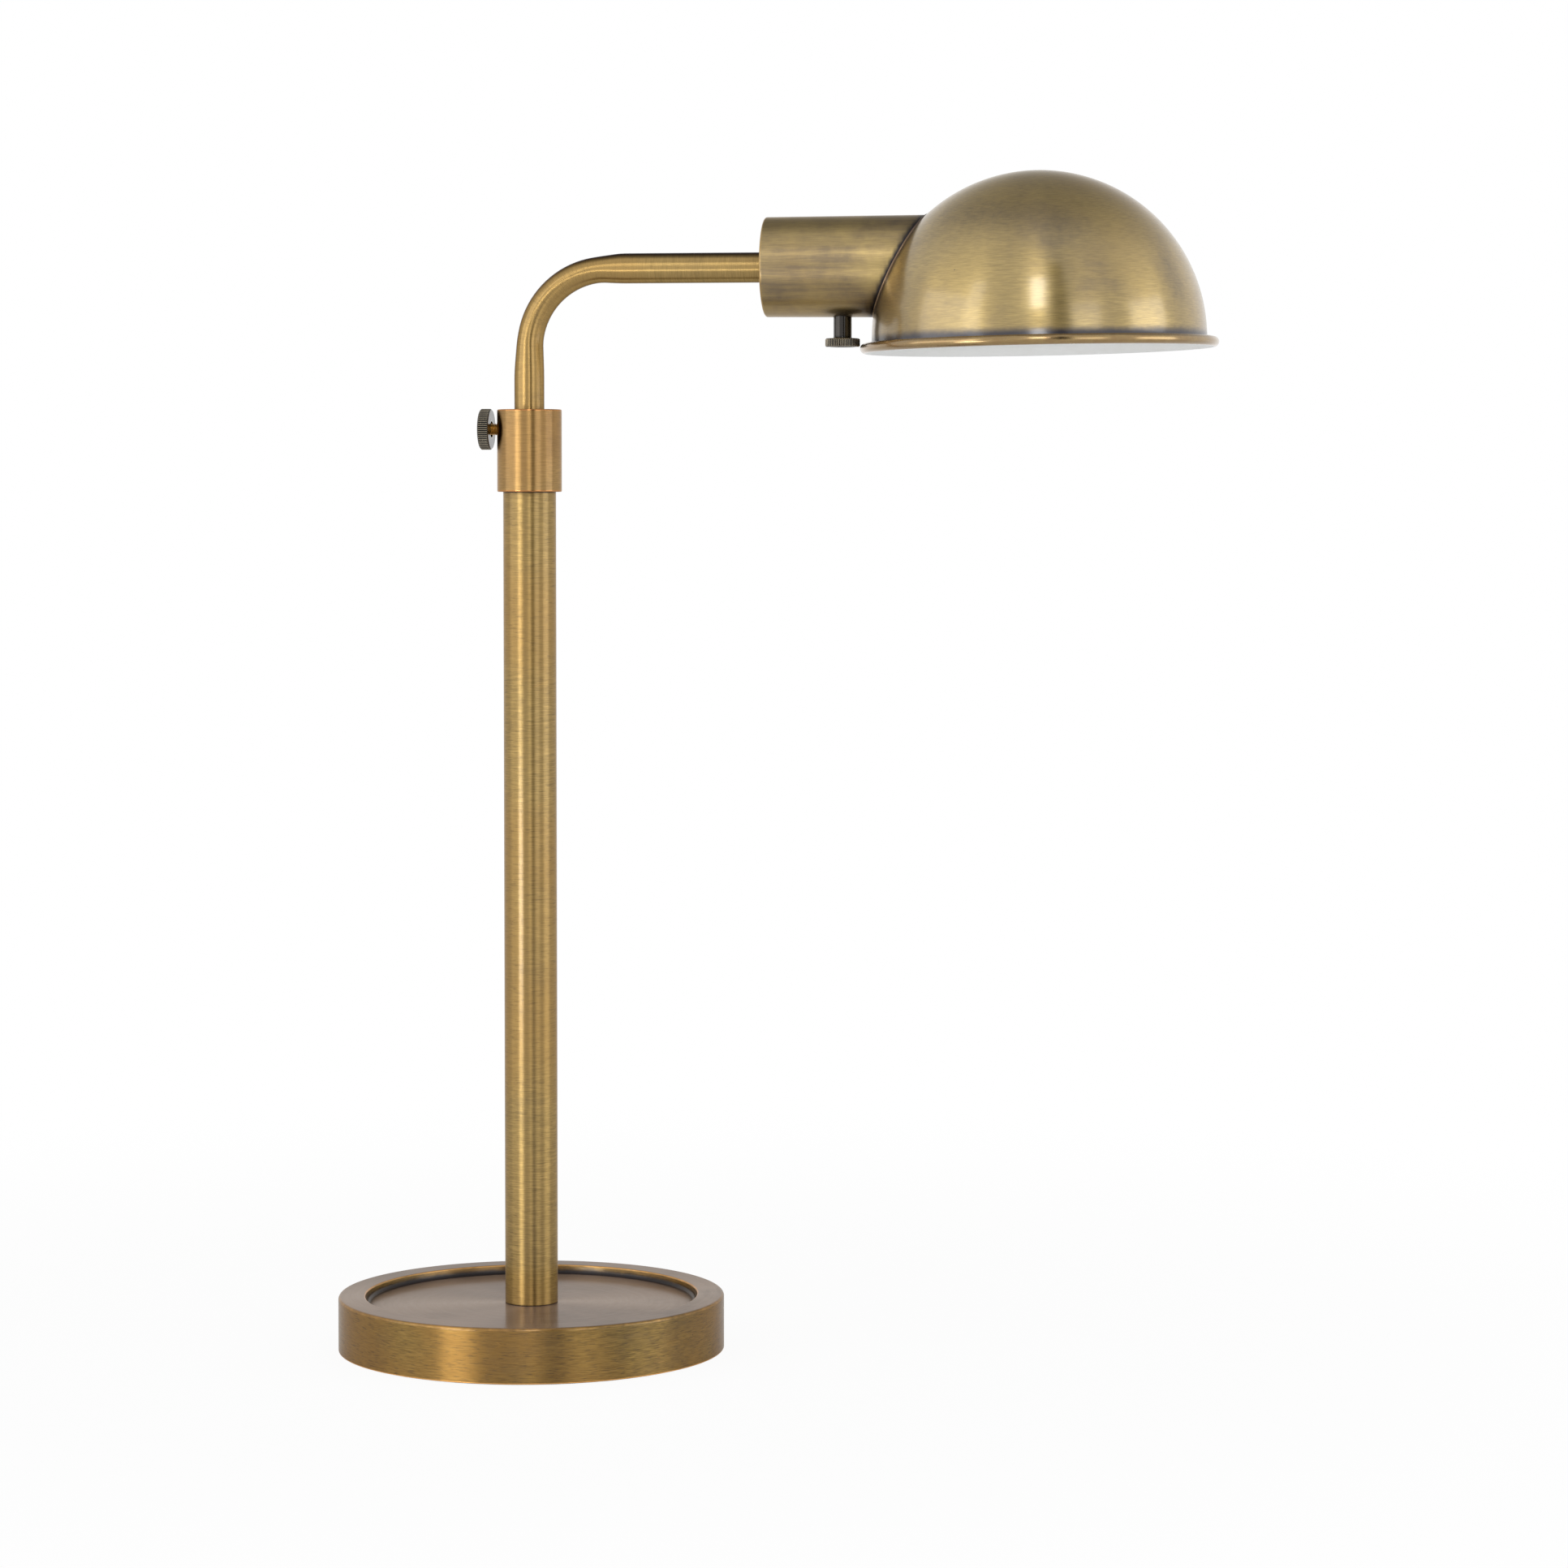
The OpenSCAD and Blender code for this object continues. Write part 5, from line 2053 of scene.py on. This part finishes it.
@dataclass
class SwitchKnob:
    """The knurled knob under the housing, on its round neck.

    Attributes:
        depth: Height of the hole's blind end.
        rim: Distances of the dish's lower and upper edge from the crests.
    """

    knurl: Knurl = Knurl()
    thickness: float = 3.6 * MM
    neck: float = 3.85 * MM
    spindle: float = 1.6 * MM
    depth: float = 1.6 * MM
    chamfer: float = 0.45 * MM
    rim: Pair = (1.8 * MM, 2.2 * MM)
    dish: float = 0.25 * MM
    edge: float = 0.1 * MM
    dish_edge: float = 0.3 * MM
    fillet: float = 0.7 * MM
    spacing: Pair = (0.3 * MM, 1.2 * MM)

    def build(self, bronze: Material) -> None:
        """Turn the knob and its neck, and cut the teeth.

        Args:
            bronze: Its finish.
        """
        low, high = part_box("switch_knob")
        middle = (low + high) / 2
        radius, top, length = (high.y - low.y) / 2, self.thickness, high.z - low.z
        flat = radius - self.chamfer
        points = spaced(rounded([
            Corner(0, self.dish), Corner(radius - self.rim[1], self.dish, self.dish_edge),
            Corner(radius - self.rim[0], 0, self.dish_edge), Corner(flat, 0, self.edge),
            Corner(radius, self.chamfer, self.edge), Corner(radius, top - self.chamfer, self.edge),
            Corner(flat, top, self.edge), Corner(self.neck, top, self.fillet),
            Corner(self.neck, length, self.dish_edge), Corner(self.spindle, length),
            Corner(self.spindle, self.depth), Corner(0, self.depth)], steps=4), *self.spacing)
        placing = Matrix.Translation((middle.x, 0, low.z))
        knob = self.knurl.head("switch_knob_turned", points, placing, radius)
        dress(knob, Body.SWITCH, bronze, slot=Slot.BRONZE, instead_of="switch_knob")


@dataclass(frozen=True)
class Fittings:
    """The inner fittings, which keep their solids and get their own finishes.

    Attributes:
        finishes: Each finish with the solids that get it.
    """

    finishes: tuple[tuple[Clouded, tuple[str, ...]], ...] = (
        (PlainMetal("turned_brass", linear(196, 164, 104), linear(150, 120, 74), 0.2),
         ("stem_plug", "stem_nipple", "arm_foot", "arm_plug", "pivot_nipple", "pivot_nut",
          "screw_shell", "centre_contact", "clamp_pad")),
        (PlainMetal("grey_iron", linear(92, 92, 92), linear(58, 52, 48), 0.5, metallic=0.7),
         ("base_weight",)),
        (PlainMetal("zinc_steel", linear(176, 178, 180), linear(130, 128, 122)),
         ("base_washer", "base_lock_washer", "base_nut", "pivot_washer", "spring_washer",
          "socket_strap", "strap_screws", "terminal_screws", "switch_spindle")),
        (PlainMetal("nickel_cap", linear(190, 188, 180), linear(150, 146, 136), 0.18),
         ("bulb_cap", "bulb_tip")),
        (Moulded("brown_rubber", linear(52, 36, 26), linear(72, 54, 42), 0.5), ("cord_bushing",)),
        (Moulded("brown_fibre", linear(88, 50, 34), linear(112, 72, 50), 0.6, grain=900.0),
         ("friction_washer",)),
        (Moulded("white_nylon", linear(222, 218, 206), linear(204, 198, 180), 0.35),
         ("guide_bush", "switch_rotor")),
        (Moulded("black_phenolic", linear(30, 27, 25), linear(52, 46, 42), 0.3),
         ("socket_body", "socket_cover")),
        (Moulded("black_glass", linear(18, 18, 22), linear(30, 30, 36), 0.1, grain=400.0),
         ("bulb_insulator",)))

    def build(self, effects: Effects) -> None:
        """Finish every carried-over solid."""
        for finish, names in self.finishes:
            finish_solids(finish.build(effects), *names)


# Studio

def facing(place: Triple, target: Triple) -> Euler:
    """Find the turn with which a lamp or a card at a place faces its target."""
    return (Vector(target) - Vector(place)).to_track_quat("-Z", "Y").to_euler()


@dataclass(frozen=True)
class Softbox:
    """A soft lamp: its place, what it faces, its size and its brightness, where the white room is 1."""

    name: str
    place: Triple
    target: Triple
    size: Pair
    glow: float

    def build(self) -> None:
        """Hang the lamp."""
        light = bpy.data.lights.new(self.name, "AREA")
        light.shape, (light.size, light.size_y) = "RECTANGLE", self.size
        light.energy = self.glow * math.pi * self.size[0] * self.size[1]
        lamp = bpy.data.objects.new(self.name, light)
        lamp.location = self.place
        lamp.rotation_euler = facing(self.place, self.target)
        bpy.context.scene.collection.objects.link(lamp)


@dataclass(frozen=True)
class Card:
    """A dark card that only shows in the metal: its place, its size and its grey.

    Attributes:
        uneven: Shares of the grey that its weave goes between.
    """

    name: str
    place: Triple
    size: Pair
    grey: float
    uneven: Pair = (0.9, 1.1)
    weave: float = 400.0

    def build(self) -> None:
        """Stand the card upright, facing the stem."""
        card = square(self.name, *(side / 2 for side in self.size))
        card.location = self.place
        card.rotation_euler = facing(self.place, (0, 0, self.place[2]))
        material, n, _ = new_material(self.name)
        dim, bright = ((self.grey * share,) * 3 for share in self.uneven)
        glow = n.add("ShaderNodeEmission")
        n.plug(glow, Color=n.blend(n.noise(n.place(), self.weave), dim, bright))
        n.plug(material.node_tree.nodes["Material Output"], Surface=glow.outputs[0])
        card.data.materials.append(material)
        card.visible_camera = card.visible_diffuse = card.visible_shadow = False


@dataclass
class Studio:
    """The camera, the lamps, the dark cards, the floor and the white surroundings.

    Attributes:
        shift: Shift of the lens.
        dim: Brightness of the room's dimmest part.
        dim_side: Direction of the dimmest part, above and behind the lamp.
        dim_rise: Cosines of the angles from it between which the white walls darken.
        floor_white: Share of plain white in the floor's look close to the lamp.
        fade: Distances between which the floor's look becomes plain white.
        floor_mirrored: The same share in the floor's reflection.
        mirror_fade: The same distances in the floor's reflection.
    """

    eye: Triple = (0.3735, -1.8763, 0.3675)
    heading: float = 8.015
    tilt: float = 2.549
    focal_pixels: float = 5526.0
    image_width: int = 1932
    shift: Pair = (0.0, -0.06)
    sensor: float = 36.0
    dim: float = 0.28
    dim_side: Triple = (0.0, 0.5, 0.866)
    dim_rise: Pair = (0.6, 1.0)
    fill: float = 0.6
    floor_reach: float = 40.0
    floor_grain: float = 60.0
    floor_greys: Pair = (0.86, 0.9)
    floor_rough: float = 0.9
    floor_gloss: float = 0.1
    floor_white: float = 0.93
    fade: Pair = (0.2, 0.8)
    floor_mirrored: float = 0.3
    mirror_fade: Pair = (0.3, 3.0)
    softboxes: tuple[Softbox, ...] = (
        Softbox("left_strip", (-1.05, -1.45, 0.75), (0, 0, 0.5), (0.36, 1.8), 1.7),
        Softbox("low_strip", (-0.62, -1.02, 0.08), (0, 0, 0.01), (0.4, 0.15), 15.0),
        Softbox("left_wall", (-1.75, -0.9, 0.85), (0.1, 0, 0.5), (1.5, 1.1), 1.3),
        Softbox("front_strip", (0.34, -1.95, 1.5), (0.2, 0, 0.42), (0.34, 0.8), 7.4),
        Softbox("right_strip", (1.28, -1.4, 0.5), (0.1, 0, 0.35), (0.6, 1.2), 1.3),
        Softbox("right_wall", (1.95, -0.15, 0.5), (0.15, 0, 0.35), (0.95, 1.1), 1.95))
    cards: tuple[Card, ...] = (Card("front_card", (0.94, -2.17, 1.4), (0.5, 3.4), 0.02),)

    def build(self) -> None:
        """Set up the whole studio."""
        self.camera()
        self.surroundings()
        self.floor()
        for part in (*self.cards, *self.softboxes):
            part.build()
        bpy.context.scene.view_settings.view_transform = "Standard"

    def camera(self) -> None:
        """Place the camera where the photograph was taken from."""
        lens = bpy.data.cameras.new("camera")
        lens.sensor_width = self.sensor
        lens.lens = self.focal_pixels / self.image_width * self.sensor
        lens.shift_x, lens.shift_y = self.shift
        camera = bpy.data.objects.new("camera", lens)
        camera.location = self.eye
        camera.rotation_euler = (math.radians(90 - self.tilt), 0, math.radians(self.heading))
        bpy.context.scene.collection.objects.link(camera)
        bpy.context.scene.camera = camera

    @staticmethod
    def looks(n: Nodes) -> tuple[Socket, Socket]:
        """Find whether the camera, or a reflection or glass, looks at a surface.

        Args:
            n: Nodes of the material or the world.

        Returns:
            1 for the camera's rays, and 1 for those of reflections and glass.
        """
        path = n.add("ShaderNodeLightPath").outputs
        mirror = n.maths("MAXIMUM", path["Is Glossy Ray"], path["Is Transmission Ray"])
        return path["Is Camera Ray"], mirror

    def surroundings(self) -> None:
        """Make the world white to look at, dimmer overhead, and a plain fill light for the lamp."""
        world = bpy.data.worlds.new("white_room")
        bpy.context.scene.world = world
        world.use_nodes = True
        world.cycles.sampling_method = "NONE"
        n = Nodes(world.node_tree)
        direction = n.add("ShaderNodeTexCoord").outputs["Generated"]
        lift = n.vector("DOT_PRODUCT", direction, self.dim_side, output="Value")
        walls = n.stretch(lift, *self.dim_rise, 1.0, self.dim)
        camera, mirror = self.looks(n)
        mirrored = n.maths("MULTIPLY_ADD", mirror, n.maths("SUBTRACT", walls, self.fill), self.fill)
        n.plug(world.node_tree.nodes["Background"], Color=(1, 1, 1),
               Strength=n.maths("MAXIMUM", camera, mirrored))

    def floor(self) -> None:
        """Lay the pale floor, which fades into the white background but keeps the shadow."""
        floor = square("floor", self.floor_reach, self.floor_reach)
        material, n, paint = new_material("pale_floor")
        place = n.place()
        dark, pale = ((grey,) * 3 for grey in self.floor_greys)
        n.plug(paint, Base_Color=n.blend(n.noise(place, self.floor_grain), dark, pale),
               Roughness=self.floor_rough, Specular_IOR_Level=self.floor_gloss)
        far = n.vector("LENGTH", place, output="Value")
        camera, mirror = self.looks(n)
        seen = n.maths("MULTIPLY", camera, n.stretch(far, *self.fade, self.floor_white, 1.0))
        mirrored = n.maths("MULTIPLY", mirror,
                           n.stretch(far, *self.mirror_fade, self.floor_mirrored, 1.0))
        glow = n.add("ShaderNodeEmission")
        mix = n.add("ShaderNodeMixShader")
        for socket, value in zip(mix.inputs, (n.maths("ADD", seen, mirrored, clamp=True),
                                              paint.outputs[0], glow.outputs[0])):
            n.feed(socket, value)
        n.plug(material.node_tree.nodes["Material Output"], Surface=mix.outputs[0])
        floor.data.materials.append(material)


# The lamp's brasses

STEM_BRASS = BrushedBrass("stem_brass", body=linear(162, 135, 82), warm=linear(164, 130, 74),
                          amount=0.3, contrast=0.26, dashes=0.3)
COLLAR_BRASS = BrushedBrass("collar_brass", body=linear(164, 131, 79), warm=linear(166, 124, 70),
                            film=linear(128, 100, 66), bare=linear(178, 124, 70), amount=0.25,
                            dashes=0.15, rough=0.34, pull=0.965)
# The base's top colour paints the lacquer's grey-mauve reflection on its level faces.
BASE_BRASS = BrushedBrass("base_brass", body=linear(134, 109, 58), warm=linear(150, 110, 54),
                          film=linear(100, 84, 66), top=linear(152, 132, 118),
                          bare=linear(232, 174, 104), edge=(0.62, 0.54, 0.47), amount=0.35,
                          contrast=0.4, dashes=0.45, calm=0.9, lacquer=0.4)
# On the arm, the dark colour also paints the dark reflection along the tube's outer side.
ARM_BRASS = BrushedBrass("arm_brass", body=linear(164, 137, 84), dirt_and_shade=linear(60, 49, 40),
                         edge=(0.3, 0.25, 0.2), amount=0.3, rough=0.31, contrast=0.2, dashes=0.2,
                         pull=0.96)
HOUSING_BRASS = BrushedBrass("housing_brass", body=linear(178, 155, 102), warm=linear(164, 138, 86),
                             film=linear(94, 84, 82), bare=linear(206, 166, 98),
                             edge=(0.9, 0.85, 0.8), amount=0.52, cloud=30.0,
                             direction=Direction.LENGTHWISE, contrast=0.14, dashes=0.12, pull=0.7)
DOME_BRASS = BrushedBrass("dome_brass", body=linear(166, 143, 88), warm=linear(162, 133, 76),
                          film=linear(104, 91, 80), bare=linear(136, 102, 54),
                          dirt_and_shade=linear(60, 56, 62), edge=(1, 0.96, 0.92), amount=0.42, cloud=16.0,
                          rough=0.34, contrast=0.2, dashes=0.1, lacquer=0.7, density=1.75,
                          pull=0.8, polish=0.2)
SEAM_BRASS = BrushedBrass("seam_brass", body=linear(98, 85, 88), film=linear(62, 52, 58),
                          amount=0.5, rough=0.3, pull=0.0)
THREAD_BRASS = BrushedBrass("thread_brass", body=linear(206, 158, 70), amount=0.1, dashes=0.0)


def main() -> None:
    """Build the studio and the lamp, one sub-assembly after another."""
    logging.basicConfig(level=logging.INFO, format="%(name)s: %(message)s")
    Studio().build()
    effects = Effects()
    bronze = DarkBronze().build(effects)
    Base().build(BASE_BRASS.build(effects), Felt().build(effects))
    Stem().build(STEM_BRASS.build(effects), COLLAR_BRASS.build(effects))
    ThumbScrew().build(bronze, THREAD_BRASS.build(effects))
    Arm().build(ARM_BRASS.build(effects))
    Head().build(DOME_BRASS.build(effects), HOUSING_BRASS.build(effects), Enamel().build(effects),
                 SEAM_BRASS.build(effects))
    Bulb().build(FrostedGlass().build(effects))
    SwitchKnob().build(bronze)
    Fittings().build(effects)


if __name__ == "__main__":
    main()
